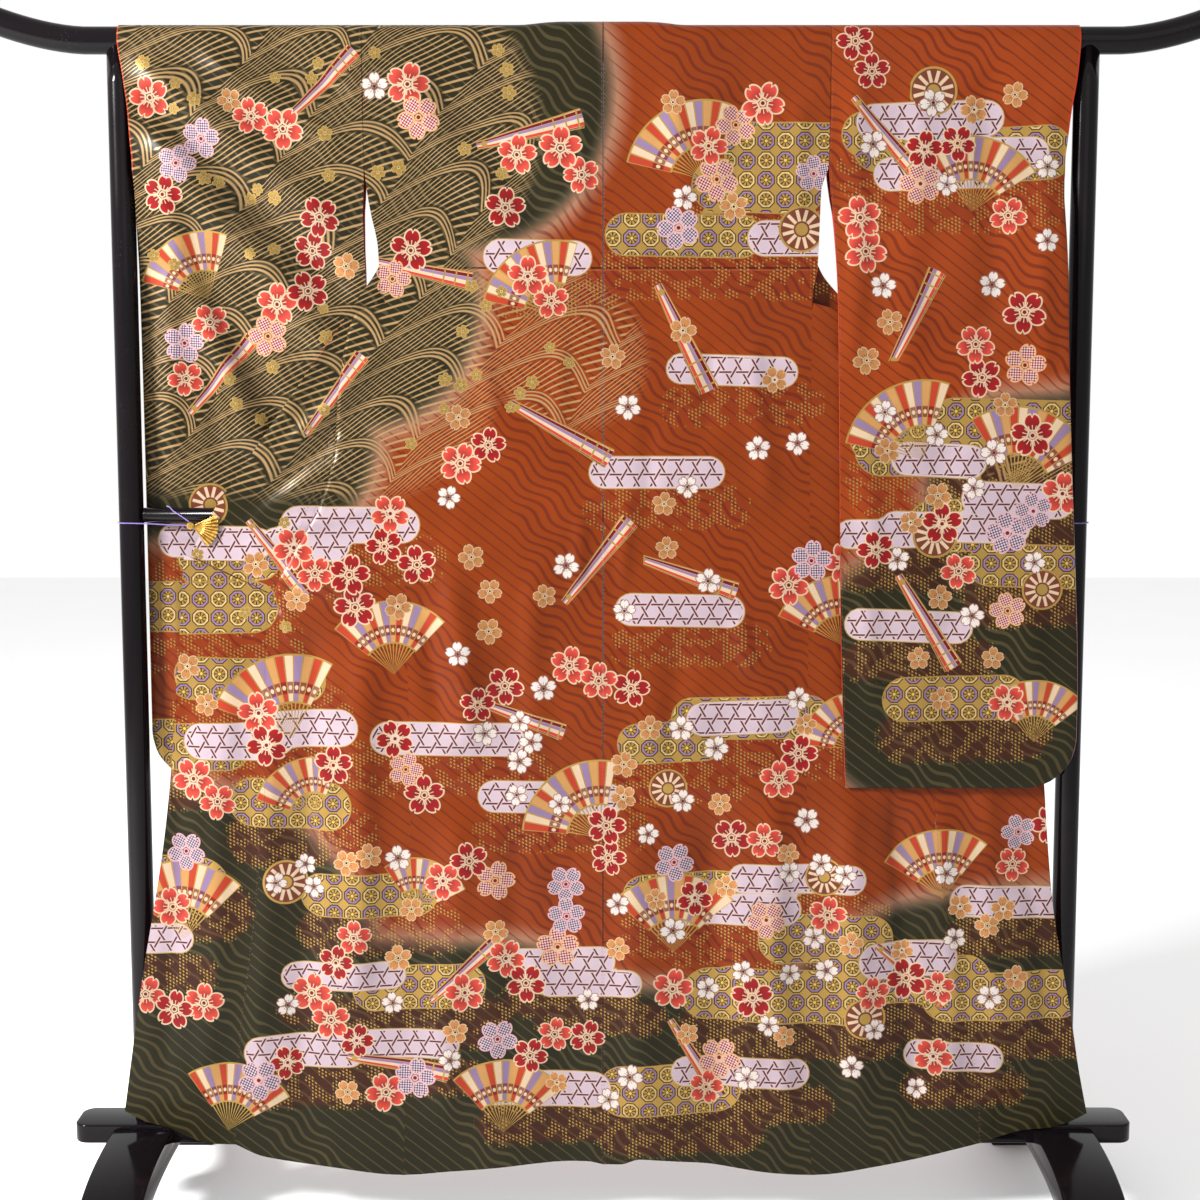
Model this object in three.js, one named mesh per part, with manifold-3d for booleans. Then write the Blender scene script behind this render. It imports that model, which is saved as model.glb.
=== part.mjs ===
// A furisode kimono hung by its shoulders and sleeves on a lacquered kimono stand.
// Millimetres, +X to the right of the kimono's back, -Y the side that its back faces, +Z up, floor at Z = 0.
import * as THREE from "three";
import { mergeVertices } from "three/addons/utils/BufferGeometryUtils.js";
import Module from "manifold-3d";

const wasm = await Module();
wasm.setup();

// Driving sizes: the stand.
const BAR_RADIUS = 18.5;
const BAR_Z = 1657;
const BAR_HALF_LENGTH = 862;
const BAR_STRAIGHT_HALF = 700;
const BAR_END_RISE = 42;
const POST_X = 657;
const POST_RADIUS = 17;
const RAIL_RADIUS = 10.5;
const RAIL_Z = 1012;
const BOARD = { halfLength: 755, halfDepth: 36, bottom: 117, top: 144, cornerRadius: 20 };
const FOOT = { x: 655, width: 84, halfDepth: 290, top: 138, thick: 40, roundness: 3 };

// Driving sizes: the cloth, an outer silk with its lining.
const WALL = 1.6;
const SEAM_GAP = 0.4;
const REST_GAP = 0.3;
const LOOSE = 0.5;
const WRAP_RADIUS = BAR_RADIUS + LOOSE + WALL / 2;
const QUARTER_WRAP = (WRAP_RADIUS * Math.PI) / 2;
const NECK_HALF = 80;
const NECK_RISE = 4.5;
const NECK_RISE_REACH = 45;
const NECK_RISE_PAST = 18;
const NECK_RISE_RAMP = 28;
const HEM_Z = 80;
const SLEEVE_BOTTOM_Z = 635;
const SLEEVE_CORNER = 70;
const SLEEVE_BEND = 2.7;
const HAND_OPENING_END_Z = 1447;

// ---------- tables ----------

// Returns look(name, key): the named column at a key, by a cubic that never overshoots its rows.
function table(columns, rows) {
  const sorted = [...rows].sort((a, b) => a[0] - b[0]);
  const keys = sorted.map((row) => row[0]);
  return (name, key) => {
    const values = sorted.map((row) => row[columns.indexOf(name)]);
    const last = keys.length - 1;
    if (key <= keys[0]) return values[0];
    if (key >= keys[last]) return values[last];
    let i = 0;
    while (keys[i + 1] < key) i++;
    const slope = (j) => (values[j + 1] - values[j]) / (keys[j + 1] - keys[j]);
    const tangent = (j) => {
      if (j === 0 || j === last) return slope(Math.min(j, last - 1));
      const [before, after] = [slope(j - 1), slope(j)];
      return before * after <= 0 ? 0 : (2 * before * after) / (before + after);
    };
    const step = keys[i + 1] - keys[i];
    const t = (key - keys[i]) / step;
    const [start, end] = [tangent(i) * step, tangent(i + 1) * step];
    const [a, b] = [values[i], values[i + 1]];
    return (
      a * (1 + 2 * t) * (1 - t) ** 2 + start * t * (1 - t) ** 2 +
      b * t * t * (3 - 2 * t) + end * t * t * (t - 1)
    );
  };
}

// Heights of the rows of points that all the cloth shares, from the bar's middle down.
const ROW_Z = [
  BAR_Z, 1610, 1560, 1520, 1491, 1455, 1423, 1380, 1345, 1320, 1290, 1240, 1172, 1125, 1077, 1035, 994,
  950, 905, 870, 810, 730, 640, 550, 460, 370, 280, 190, 130, HEM_Z,
];

// How far towards -Y the back hangs at each height.
const hang = table(["z", "y"], [
  [BAR_Z, -WRAP_RADIUS], [1610, -19.9], [1560, -20.2], [1520, -20.8], [1491, -21.5], [1345, -24],
  [1172, -26.5], [994, -28], [870, -29], [620, -32], [395, -35.5], [170, -40], [HEM_Z, -41.5],
]);

// Half widths of the back from its middle seam: the armhole, the open side under it, then the side seam.
const backSide = {
  left: table(["z", "x"], [
    [BAR_Z, 325.6], [1488, 324], [1422, 315], [1375, 306], [1335, 304], [1308, 297], [1172, 278],
    [1035, 276], [896, 274], [614, 269], [494, 272], [HEM_Z, 284],
  ]),
  right: table(["z", "x"], [
    [BAR_Z, 307.6], [1488, 306], [1468, 297], [1348, 292], [1308, 285], [614, 285], [281, 284], [HEM_Z, 298],
  ]),
};

// The seam between front and overlap, and the free front edge, below the collar's end.
const overlapSeam = {
  left: table(["z", "x"], [
    [870, 464], [785, 470], [604, 473], [543, 481], [434, 490], [322, 506], [259, 513], [119, 522],
  ]),
  right: table(["z", "x"], [
    [870, 462], [614, 464], [493, 475], [408, 495], [319, 511], [244, 523], [120, 534],
  ]),
};
const frontEdge = {
  left: table(["z", "x"], [
    [960, 572], [897, 581], [785, 591], [658, 605], [615, 609], [472, 631], [385, 647], [253, 668],
    [162, 681],
  ]),
  right: table(["z", "x"], [
    [960, 575], [628, 619], [542, 626], [441, 637], [325, 660], [266, 669], [160, 689],
  ]),
};

// Height of the hem across the kimono, from the left front corner to the right one.
const hem = table(["x", "z"], [
  [-681, 165], [-640, 146], [-610, 140], [-585, 126], [-560, 119], [-522, 118], [-504, 106], [-390, 85],
  [-284, 73], [-219, 78], [-26, 93], [-4, 90], [16, 84], [39, 97], [139, 90], [298, 73], [397, 87],
  [532, 119], [600, 139], [640, 142], [689, 162],
]);

// The front as it turns from behind the bar to the side, in distances out from the middle: its side edge,
// the fold that shows, the tuck behind it and its far edge, and how far each lies behind the back.
const turn = table(
  ["z", "side", "fold", "tuck", "edge", "sideBack", "foldBack", "tuckBack", "edgeBack"],
  [
    [BAR_Z, 325.6, 242, 161, NECK_HALF, ...Array(4).fill(2 * WRAP_RADIUS)],
    [1610, 325.6, 243, 160, 81, 39.4, 41, 41, 40.5],
    [1560, 325.2, 235, 90, 98, 39.6, 38, 38, 46],
    [1520, 324.6, 212, 106, 130, 40.1, 33, 31, 45],
    [1491, 323.9, 215, 118, 155, 40.1, 29, 27, 42],
    [1455, 318.5, 222, 131, 190, 32, 24, 20, 36],
    [1423, 313.5, 228, 140, 213, 24, 20, 16, 30],
    [1380, 306, 235, 150, 242, 14.5, 14, 13, 25],
    [1345, 302, 243, 156, 265, 6.5, 9, 11, 21],
    [1320, 300.8, 247, 161, 281, 3.2, 7, 10, 19.5],
    [1290, 293.5, 337, 210, 300, 0, -3, 9, 18.5],
    [1240, 286, 355, 245, 328, 0, -4.5, 7.5, 16],
    [1172, 278.4, 363, 272, 359, 0, -5.5, 5, 14],
    [1077, 277, 374, 297, 378, 0, -5.5, 3.5, 12.5],
    [994, 276, 408, 352, 412, 0, -5, 3.5, 12.4],
    [950, 275.5, 434, 393, 436, 0, -4.5, 3, 11],
    [905, 274.8, 455, 427, 458, 0, -4, 2.5, 9],
    [870, 273.5, 438, 451, 464, 0, -1.5, 1, 4],
    [815, 272, 410, 440, 468, 0, -1, 0, 2.5],
    [755, 271, 375, 425, 471, 0, -2, -1, 2],
    [620, 269.5, 337, 405, 472, 0, -3, -2, 1],
    [395, 274, 348, 421, 495, 0, -2, -1, 1],
    [HEM_Z, 284, 363, 443, 522, 0, 0, 0, 0],
  ],
);

// Heights that cut and hang share: where the seam to the overlap starts, the collar's lower end, the top of
// the overlap's tip, the lowest row of the collar's turn behind the neck, and where the hem starts to curve.
const SEAM_TOP_Z = 870;
const COLLAR_END_Z = 905;
const TIP_TOP_Z = 1423;
const TURN_LOW_Z = 1455;
const HEM_CURVE_Z = 520;
const CLIMB_LOW_Z = 620;

// Width of the overlap's long tip, which runs up between front and collar.
const tipWidth = table(["z", "width"], [
  [TIP_TOP_Z, 3], [1345, 4], [1172, 8], [1077, 10], [994, 9], [COLLAR_END_Z, 6],
]);

// The collar's free edge is taut from the neck to the clip: a straight line over the height.
const TAUT = { x: 324, z: 1328, outPerDown: 0.7 };
const COLLAR_NECK_WIDTH = 55;
const COLLAR_NECK_LEAN = { corner: 0.3, side: 0.45 };
const NECK_GAP = 0.7;
const COLLAR_LEAN = { out: 0.82, down: -0.57 };
const COLLAR_END_RISE = 54;
const FREE_EDGE_BACK = 6;
// Behind the neck the collar turns over: which way it leaves its seam, and how wide it is there.
const collarTurn = table(["z", "out", "down", "back", "width"], [
  [BAR_Z, -0.45, 0.89, 0, COLLAR_NECK_WIDTH],
  [1610, -0.55, 0.62, 0.55, COLLAR_NECK_WIDTH],
  [1560, -0.1, 0.05, 1, COLLAR_NECK_WIDTH],
  [1520, 0.5, -0.35, 0.8, 50],
  [1491, 0.72, -0.5, 0.48, 45],
  [1455, 0.8, -0.57, 0.17, 40],
]);

// Sleeves: how far out each layer reaches, and where the near and far layers hang.
const sleeve = {
  left: table(["z", "inner", "nearOut", "farOut", "near", "far"], [
    [BAR_Z, 326, 655.5, 655.5, -WRAP_RADIUS, WRAP_RADIUS],
    [1610, 326, 649, 649, -19.9, 19.6],
    [1560, 325.6, 643.5, 643.5, -20.2, 19.4],
    [1520, 325, 641, 640.6, -20.8, 19.3],
    [1491, 324.4, 638.7, 638.7, -21.5, 18.6],
    [1447, 326.5, 638.7, 638.7, -14, 17.5],
    [1423, 328, 638.7, 638.7, -9.5, 16.8],
    [1380, 328, 638.7, 638.7, -1.5, 16],
    [1345, 327, 638.7, 638.7, 4, 15.6],
    [1290, 327, 638.7, 638.7, 7.5, 15.8],
    [1240, 327, 638.7, 638.7, 9.5, 16.6],
    [1172, 327, 638.7, 638.7, 12, 18],
    [1077, 327, 638.7, 638.7, 13.5, 18.9],
    [994, 327, 638.7, 638.7, 13.6, 19],
    [SLEEVE_BOTTOM_Z, 325, 638.7, 638.7, 13.6, 19],
  ]),
  right: table(["z", "inner", "nearOut", "farOut", "near", "far"], [
    [BAR_Z, 308, 644, 644, -WRAP_RADIUS, WRAP_RADIUS],
    [1610, 308, 641, 641, -19.9, 19.6],
    [1560, 307.7, 633.5, 633.5, -20.2, 19.4],
    [1520, 307.2, 629, 629, -20.8, 19.3],
    [1491, 306.4, 626, 626, -21.5, 18.6],
    [1447, 309, 626, 626, -27, -2],
    [1423, 312, 627, 627, -31, -14],
    [1380, 315, 629, 629, -38, -27],
    [1345, 317, 630, 630, -42, -34],
    [1290, 319, 631, 631, -46, -40.6],
    [1172, 322, 636, 636, -46, -40.6],
    [1077, 324, 641, 641, -46, -40.6],
    [905, 327, 651, 651, -46, -40.6],
    [755, 332, 657, 657, -46, -40.6],
    [SLEEVE_BOTTOM_Z, 338, 657, 657, -46, -40.6],
  ]),
};

// Broad soft folds that hang in back and fronts.
const FOLDS = {
  columns: ["x", "top", "bottom", "halfWidth", "forward"],
  rows: [
    [-205, 1010, 640, 42, 5],
    [-150, 620, 20, 46, 4],
    [-60, 700, 20, 38, -4],
    [70, 820, 20, 44, 4],
    [150, 620, 20, 36, -4],
    [225, 980, 20, 40, 4],
    [-350, 820, 120, 42, 5],
    [-425, 600, 60, 34, -4],
    [-560, 820, 200, 34, 4],
    [370, 700, 60, 40, 4],
    [590, 560, 160, 34, 4],
  ],
};

const SIDES = { left: -1, right: 1 };

// ---------- cloth ----------

const mix = (a, b, t) => a + (b - a) * t;

const smooth = (t) => {
  const c = Math.min(Math.max(t, 0), 1);
  return c * c * (3 - 2 * c);
};

// Extra depth of the soft folds at a place, towards -Y.
function foldsAt(x, z) {
  return FOLDS.rows.reduce((sum, row) => {
    const fold = Object.fromEntries(FOLDS.columns.map((name, i) => [name, row[i]]));
    const reach = Math.min(80, (fold.top - fold.bottom) / 2);
    const along = smooth((fold.top - z) / reach) * smooth((z - fold.bottom) / reach);
    return sum + fold.forward * along * Math.exp(-(((x - fold.x) / fold.halfWidth) ** 2));
  }, 0);
}

// A place on cloth laid over the bar: down is the distance from the top of the bar, minus on the near side.
function overBar(x, down) {
  const rise = NECK_RISE * smooth((NECK_HALF + NECK_RISE_PAST - Math.abs(x)) / NECK_RISE_RAMP);
  const lift = rise * (1 - smooth(Math.abs(down) / NECK_RISE_REACH));
  const radius = WRAP_RADIUS + lift;
  if (Math.abs(down) < QUARTER_WRAP) {
    const angle = down / WRAP_RADIUS;
    return new THREE.Vector3(x, radius * Math.sin(angle), BAR_Z + radius * Math.cos(angle));
  }
  const beyond = Math.abs(down) - QUARTER_WRAP;
  return new THREE.Vector3(x, Math.sign(down) * radius, BAR_Z - beyond);
}

// Moves a row's height to the hem's curve, more and more towards the bottom.
function toHem(x, z) {
  const pull = Math.min(Math.max((HEM_CURVE_Z - z) / (HEM_CURVE_Z - HEM_Z), 0), 1) ** 2;
  return z + (hem("z", x) - HEM_Z) * pull;
}

// A wall of cloth through patches of points, each a list of rows, joined where their points meet.
function cloth(patches, wall = WALL) {
  const points = [];
  const indexOf = new Map();
  const indexFor = (p) => {
    const key = [p.x, p.y, p.z].map((v) => Math.round(v * 100)).join();
    if (!indexOf.has(key)) {
      indexOf.set(key, points.length);
      points.push(p);
    }
    return indexOf.get(key);
  };
  const faces = [];
  for (const { rows, flip } of patches) {
    const grid = rows.map((row) => row.map(indexFor));
    for (let j = 0; j + 1 < grid.length; j++) {
      for (let i = 0; i + 1 < grid[j].length; i++) {
        const quad = [grid[j][i], grid[j][i + 1], grid[j + 1][i + 1], grid[j + 1][i]];
        if (flip) quad.reverse();
        faces.push([quad[0], quad[1], quad[2]], [quad[0], quad[2], quad[3]]);
      }
    }
  }
  const real = faces.filter(([a, b, c]) => a !== b && b !== c && c !== a);
  const normals = points.map(() => new THREE.Vector3());
  for (const face of real) {
    const [a, b, c] = face.map((index) => points[index]);
    const normal = b.clone().sub(a).cross(c.clone().sub(a)).normalize();
    face.forEach((index) => normals[index].add(normal));
  }
  const count = points.length;
  const positions = [];
  for (const side of [1, -1]) {
    points.forEach((p, index) => {
      positions.push(...p.clone().addScaledVector(normals[index].normalize(), (side * wall) / 2));
    });
  }
  const used = new Set(real.flatMap(([a, b, c]) => [`${a},${b}`, `${b},${c}`, `${c},${a}`]));
  const indices = [];
  for (const [a, b, c] of real) {
    indices.push(a, b, c, c + count, b + count, a + count);
    for (const [from, to] of [[a, b], [b, c], [c, a]]) {
      if (used.has(`${to},${from}`)) continue;
      indices.push(to, from, from + count, from + count, to + count, to);
    }
  }
  const geometry = new THREE.BufferGeometry();
  geometry.setAttribute("position", new THREE.Float32BufferAttribute(positions, 3));
  geometry.setIndex(indices);
  return geometry;
}

const WRAP_PARTS = 4;
const WRAP_STEPS = Array.from({ length: WRAP_PARTS }, (_, i) => (QUARTER_WRAP * i) / WRAP_PARTS);

// Widens or narrows a distance from the middle so that the front's side edge meets the back's.
function fitted(side, out, z) {
  const change = backSide[side]("x", z) - turn("side", z);
  return out + (change * (out - NECK_HALF)) / (turn("side", z) - NECK_HALF);
}

// The front's far edge: the seam to the overlap, or above the collar's end the line where its tip lies.
function edgeOut(side, z) {
  if (z > SEAM_TOP_Z) return fitted(side, turn("edge", z), z);
  return overlapSeam[side]("x", z);
}

// One row of the front, from its side edge to its far edge, round the fold and the tuck.
function frontSection(side, z) {
  const width = turn("edge", z);
  const scale = (edgeOut(side, z) - fitted(side, turn("side", z), z)) / (width - turn("side", z));
  const place = (out) => {
    if (z > SEAM_TOP_Z) return fitted(side, out, z);
    return fitted(side, turn("side", z), z) + (out - turn("side", z)) * scale;
  };
  const names = ["side", "fold", "tuck", "edge"];
  const out = Object.fromEntries(names.map((name) => [name, place(turn(name, z))]));
  const behind = (name) => turn(`${name}Back`, z);
  const bend = (at, towards, back) => at + Math.sign(towards - at) * back;
  const sharp = Math.sign(out.side - out.fold) === Math.sign(out.tuck - out.fold);
  const sharpTuck = Math.sign(out.fold - out.tuck) === Math.sign(out.edge - out.tuck);
  const FOLD_BEND = 4;
  const SOFT_BEND = 9;
  const atFold = Math.min(sharp ? FOLD_BEND : SOFT_BEND, Math.abs(out.tuck - out.fold) / 3);
  const atTuck = Math.min(sharpTuck ? FOLD_BEND : SOFT_BEND, Math.abs(out.edge - out.tuck) / 3);
  const stops = [
    [out.side, behind("side")],
    [bend(out.fold, out.side, atFold), behind("fold")],
    [out.fold, (behind("fold") + mix(behind("fold"), behind("tuck"), sharp ? 1 : 0.2)) / 2],
    [bend(out.fold, out.tuck, atFold), mix(behind("fold"), behind("tuck"), sharp ? 1 : 0.2)],
    [bend(out.tuck, out.fold, atTuck), behind("tuck")],
    [out.tuck, mix(behind("tuck"), behind("edge"), 0.5)],
    [bend(out.tuck, out.edge, atTuck), mix(behind("tuck"), behind("edge"), sharpTuck ? 1 : 0.5)],
    [out.edge, behind("edge")],
  ];
  const points = [];
  const LONG_PARTS = new Map([[0, 3], [3, 2], [6, 2]]);
  stops.slice(0, -1).forEach((stop, i) => {
    const pieces = LONG_PARTS.get(i) ?? 1;
    for (let k = 0; k < pieces; k++) {
      const t = k / pieces;
      points.push([mix(stop[0], stops[i + 1][0], t), mix(stop[1], stops[i + 1][1], t)]);
    }
  });
  points.push(stops.at(-1));
  return points.map(([o, b]) => {
    const x = SIDES[side] * o;
    return new THREE.Vector3(x, hang("y", z) + b - foldsAt(x, z), toHem(x, z));
  });
}

// All rows of the front, from the top of the bar over its far side and down to the hem.
function frontRows(side) {
  const top = frontSection(side, BAR_Z);
  const wrapped = WRAP_STEPS.map((down) => top.map((p) => overBar(p.x, down)));
  return [...wrapped, ...ROW_Z.map((z) => frontSection(side, z))];
}

// All rows of the back, from the top of the bar down its near side; its columns go on over into the front's.
function backRows(side, front) {
  const NECK_COLUMNS = 3;
  const gap = (SIDES[side] * SEAM_GAP) / 2;
  const neck = Array.from({ length: NECK_COLUMNS }, (_, i) => SIDES[side] * NECK_HALF * (i / NECK_COLUMNS));
  const columns = [...neck, ...front[0].map((p) => p.x).reverse()];
  const full = columns.at(-1);
  const row = (z) => columns.map((column) => {
    const x = mix(gap, SIDES[side] * backSide[side]("x", z), column / full);
    return new THREE.Vector3(x, hang("y", z) - foldsAt(x, z), toHem(x, z));
  });
  const wrapped = WRAP_STEPS.map((down) => columns.map((x) => overBar(x || gap, -down)));
  return [...wrapped, ...ROW_Z.map(row)];
}

function body(side) {
  const front = frontRows(side);
  const back = backRows(side, front);
  const flip = side === "right";
  return cloth([{ rows: back, flip: !flip }, { rows: front, flip: !flip }]);
}

// The overlap panel, with its tip.
function overlap(side) {
  const rowAt = (z) => {
    const seam = edgeOut(side, z) + SEAM_GAP;
    const tip = tipWidth("width", Math.max(z, COLLAR_END_Z));
    const free = frontEdge[side]("x", toHem(SIDES[side] * frontEdge[side]("x", z), z));
    const COLUMNS = 5;
    const outs = [seam, seam + tip];
    for (let i = 1; i <= COLUMNS; i++) outs.push(mix(seam + tip, free, i / COLUMNS));
    const climb = smooth((z - CLIMB_LOW_Z) / (COLLAR_END_Z - CLIMB_LOW_Z));
    return outs.map((out, i) => {
      const x = SIDES[side] * out;
      const across = Math.max(i - 1, 0) / COLUMNS;
      const y = hang("y", z) + mix(turn("edgeBack", z), FREE_EDGE_BACK, across) - foldsAt(x, z);
      const clear = z === COLLAR_END_Z && i > 0 ? 2 * SEAM_GAP : 0;
      return new THREE.Vector3(x, y, toHem(x, z) + COLLAR_END_RISE * across * climb - clear);
    });
  };
  const main = ROW_Z.filter((z) => z <= COLLAR_END_Z).map(rowAt);
  const tip = ROW_Z.filter((z) => z >= COLLAR_END_Z && z <= TIP_TOP_Z).map((z) => {
    if (z === COLLAR_END_Z) return main[0].slice(0, 2);
    const seam = edgeOut(side, z) + SEAM_GAP;
    const y = hang("y", z) + turn("edgeBack", z);
    return [seam, seam + tipWidth("width", z)].map((out) => new THREE.Vector3(SIDES[side] * out, y, z));
  });
  const flip = side === "right";
  return cloth([{ rows: main, flip: !flip }, { rows: tip, flip: !flip }]);
}

// One station across the collar: its seam at the given row of the front, then out to its free edge.
const COLLAR_ACROSS = [0, 0.13, 0.27, 0.42, 0.62, 1];
const TURNED_BEHIND = 2.4;

function collarStation(side, z) {
  const sign = SIDES[side];
  const turned = z >= TURN_LOW_Z;
  const tip = z <= TIP_TOP_Z ? tipWidth("width", z) + SEAM_GAP : 0;
  const seam = edgeOut(side, z) + tip;
  let start = seam + SEAM_GAP;
  let behind = 0;
  if (z === BAR_Z) start = seam - NECK_GAP;
  if (z < BAR_Z && z > TURN_LOW_Z) {
    start = seam;
    behind = TURNED_BEHIND;
  }
  const tautAt = TAUT.x + TAUT.outPerDown * (TAUT.z - z);
  const fit = edgeOut(side, z) - turn("edge", z);
  const width = (tautAt + fit - start) / (COLLAR_LEAN.out - TAUT.outPerDown * COLLAR_LEAN.down);
  let way = { ...COLLAR_LEAN, back: 0, width };
  if (turned) way = Object.fromEntries(["out", "down", "back", "width"].map((n) => [n, collarTurn(n, z)]));
  if (z === COLLAR_END_Z) {
    const out = frontEdge[side]("x", z + COLLAR_END_RISE) - start;
    way = { out, down: -COLLAR_END_RISE, back: 0, width: 1 };
  }
  const y = hang("y", z) + turn("edgeBack", z) + behind;
  const down = QUARTER_WRAP + BAR_Z - z;
  return COLLAR_ACROSS.map((k) => {
    const reach = way.width * k;
    const lean = turned ? 0 : (FREE_EDGE_BACK - turn("edgeBack", COLLAR_END_Z)) * k;
    return new THREE.Vector3(
      sign * (start + way.out * reach),
      y + way.back * reach + lean,
      BAR_Z - (down - QUARTER_WRAP + way.down * reach),
    );
  });
}

function collar() {
  const half = (side) => {
    const rows = ROW_Z.filter((z) => z >= COLLAR_END_Z).reverse().map((z) => collarStation(side, z));
    const arc = [...WRAP_STEPS].reverse().map((down) => {
      const inward = mix(COLLAR_NECK_LEAN.corner, COLLAR_NECK_LEAN.side, down / QUARTER_WRAP);
      return COLLAR_ACROSS.map((k) => overBar(
        SIDES[side] * (NECK_HALF - NECK_GAP - inward * COLLAR_NECK_WIDTH * k),
        Math.max(down, NECK_GAP) + COLLAR_NECK_WIDTH * k,
      ));
    });
    return [...rows, ...arc];
  };
  const neck = [-53, -27, 0, 27, 53].map((x) =>
    COLLAR_ACROSS.map((k) => overBar(x, NECK_GAP + COLLAR_NECK_WIDTH * k)));
  const rows = [...half("left"), ...neck, ...half("right").reverse()];
  return cloth([{ rows, flip: false }]);
}

// A long sleeve: a folded length laid over the bar, closed along its bottom and up to the hand opening.
function sleeveBag(side) {
  const BOTTOM_STEPS = [0, 1, 3.5, 10, 24, 44, SLEEVE_CORNER];
  const heights = [
    ...ROW_Z.filter((z) => z > TURN_LOW_Z), HAND_OPENING_END_Z, TIP_TOP_Z, 1380, 1345, 1320, 1290, 1240,
    1172, 1077, 994, 905, 815, 755, ...BOTTOM_STEPS.map((step) => SLEEVE_BOTTOM_Z + step).reverse(),
  ];
  const look = (name, z) => sleeve[side](name, z);
  const INNER_PARTS = [0, 0.14, 0.28, 0.42, 0.56, 0.7, 0.85];
  const EDGE_STEPS = [3.5, 1, 0];
  const outEdge = (name, z) => {
    const up = z - SLEEVE_BOTTOM_Z;
    if (up >= SLEEVE_CORNER) return look(name, z);
    const drop = SLEEVE_CORNER - up;
    return look(name, z) - SLEEVE_CORNER + Math.sqrt(SLEEVE_CORNER ** 2 - drop ** 2);
  };
  const closing = (fromEdge) => {
    const t = Math.min(fromEdge / SLEEVE_BEND, 1);
    return Math.sqrt(1 - (1 - t) ** 2);
  };
  const layer = (name) => {
    const outs = (z) => {
      const [inner, outer] = [look("inner", z), outEdge(`${name}Out`, z)];
      return [
        ...INNER_PARTS.map((part) => mix(inner, outer - EDGE_STEPS[0], part)),
        ...EDGE_STEPS.map((step) => outer - step),
      ];
    };
    const top = outs(BAR_Z);
    const wrapped = WRAP_STEPS.map((down) =>
      top.map((out) => overBar(SIDES[side] * out, name === "near" ? -down : down)));
    const hanging = heights.map((z) => outs(z).map((out) => {
      const middle = (look("near", z) + look("far", z)) / 2;
      const half = look(name, z) - middle;
      const outer = outEdge(`${name}Out`, z);
      const fromOuter = z <= HAND_OPENING_END_Z ? outer - out : Infinity;
      const shut = closing(Math.min(fromOuter, z - SLEEVE_BOTTOM_Z));
      return new THREE.Vector3(SIDES[side] * out, middle + half * shut, z);
    }));
    return [...wrapped, ...hanging];
  };
  const flip = side === "left";
  return cloth([{ rows: layer("near"), flip: !flip }, { rows: layer("far"), flip }]);
}

// ---------- hard pieces ----------

// A closed mesh as a solid that can be cut and joined.
function solid(geometry) {
  const g = geometry.index ? geometry.toNonIndexed() : geometry.clone();
  g.deleteAttribute("normal");
  g.deleteAttribute("uv");
  const merged = mergeVertices(g, 1e-3);
  return new wasm.Manifold(new wasm.Mesh({
    numProp: 3,
    vertProperties: merged.attributes.position.array,
    triVerts: new Uint32Array(merged.index.array),
  }));
}

function fromSolid(shape) {
  const mesh = shape.getMesh();
  const geometry = new THREE.BufferGeometry();
  geometry.setAttribute("position", new THREE.BufferAttribute(new Float32Array(mesh.vertProperties), 3));
  geometry.setIndex([...mesh.triVerts]);
  return geometry;
}

function circle(radius, sides) {
  const shape = new THREE.Shape();
  for (let i = 0; i < sides; i++) {
    const angle = (2 * Math.PI * i) / sides;
    const [x, y] = [radius * Math.cos(angle), radius * Math.sin(angle)];
    if (i === 0) shape.moveTo(x, y);
    else shape.lineTo(x, y);
  }
  return shape;
}

// The top bar: straight over the posts, then both ends sweep up.
class BarLine extends THREE.Curve {
  getPoint(t) {
    const x = mix(-BAR_HALF_LENGTH, BAR_HALF_LENGTH, t);
    const past = Math.max(Math.abs(x) - BAR_STRAIGHT_HALF, 0) / (BAR_HALF_LENGTH - BAR_STRAIGHT_HALF);
    return new THREE.Vector3(x, 0, BAR_Z + BAR_END_RISE * past ** 1.7);
  }
}

function topBar() {
  const BAR_SIDES = 16;
  const line = new BarLine();
  const tube = new THREE.ExtrudeGeometry(circle(BAR_RADIUS, BAR_SIDES), { steps: 22, extrudePath: line });
  let bar = solid(tube);
  for (const end of [0, 1]) {
    const ball = new THREE.SphereGeometry(BAR_RADIUS, BAR_SIDES, 8);
    ball.translate(...line.getPoint(end));
    bar = bar.add(solid(ball));
  }
  return fromSolid(bar);
}

// A post whose head is hollowed to take the bar.
function post() {
  const foot = BOARD.top + REST_GAP;
  const height = BAR_Z - foot;
  const round = new THREE.CylinderGeometry(POST_RADIUS, POST_RADIUS, height, 24);
  round.rotateX(Math.PI / 2).translate(0, 0, foot + height / 2);
  const seat = new THREE.CylinderGeometry(BAR_RADIUS + REST_GAP, BAR_RADIUS + REST_GAP, 4 * POST_RADIUS, 32);
  seat.rotateZ(Math.PI / 2).translate(0, 0, BAR_Z);
  return fromSolid(solid(round).subtract(solid(seat)));
}

function middleRail() {
  const length = 2 * (POST_X - POST_RADIUS - REST_GAP);
  return new THREE.CylinderGeometry(RAIL_RADIUS, RAIL_RADIUS, length, 20).rotateZ(Math.PI / 2);
}

function bottomBoard() {
  const { halfLength: l, halfDepth: d, cornerRadius: r } = BOARD;
  const shape = new THREE.Shape();
  shape.moveTo(-l + r, -d);
  shape.lineTo(l - r, -d);
  shape.absarc(l - r, -d + r, r, -Math.PI / 2, 0);
  shape.absarc(l - r, d - r, r, 0, Math.PI / 2);
  shape.lineTo(-l + r, d);
  shape.absarc(-l + r, d - r, r, Math.PI / 2, Math.PI);
  shape.absarc(-l + r, -d + r, r, Math.PI, 1.5 * Math.PI);
  const depth = BOARD.top - BOARD.bottom;
  return new THREE.ExtrudeGeometry(shape, { depth, bevelEnabled: false, curveSegments: 6 });
}

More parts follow.
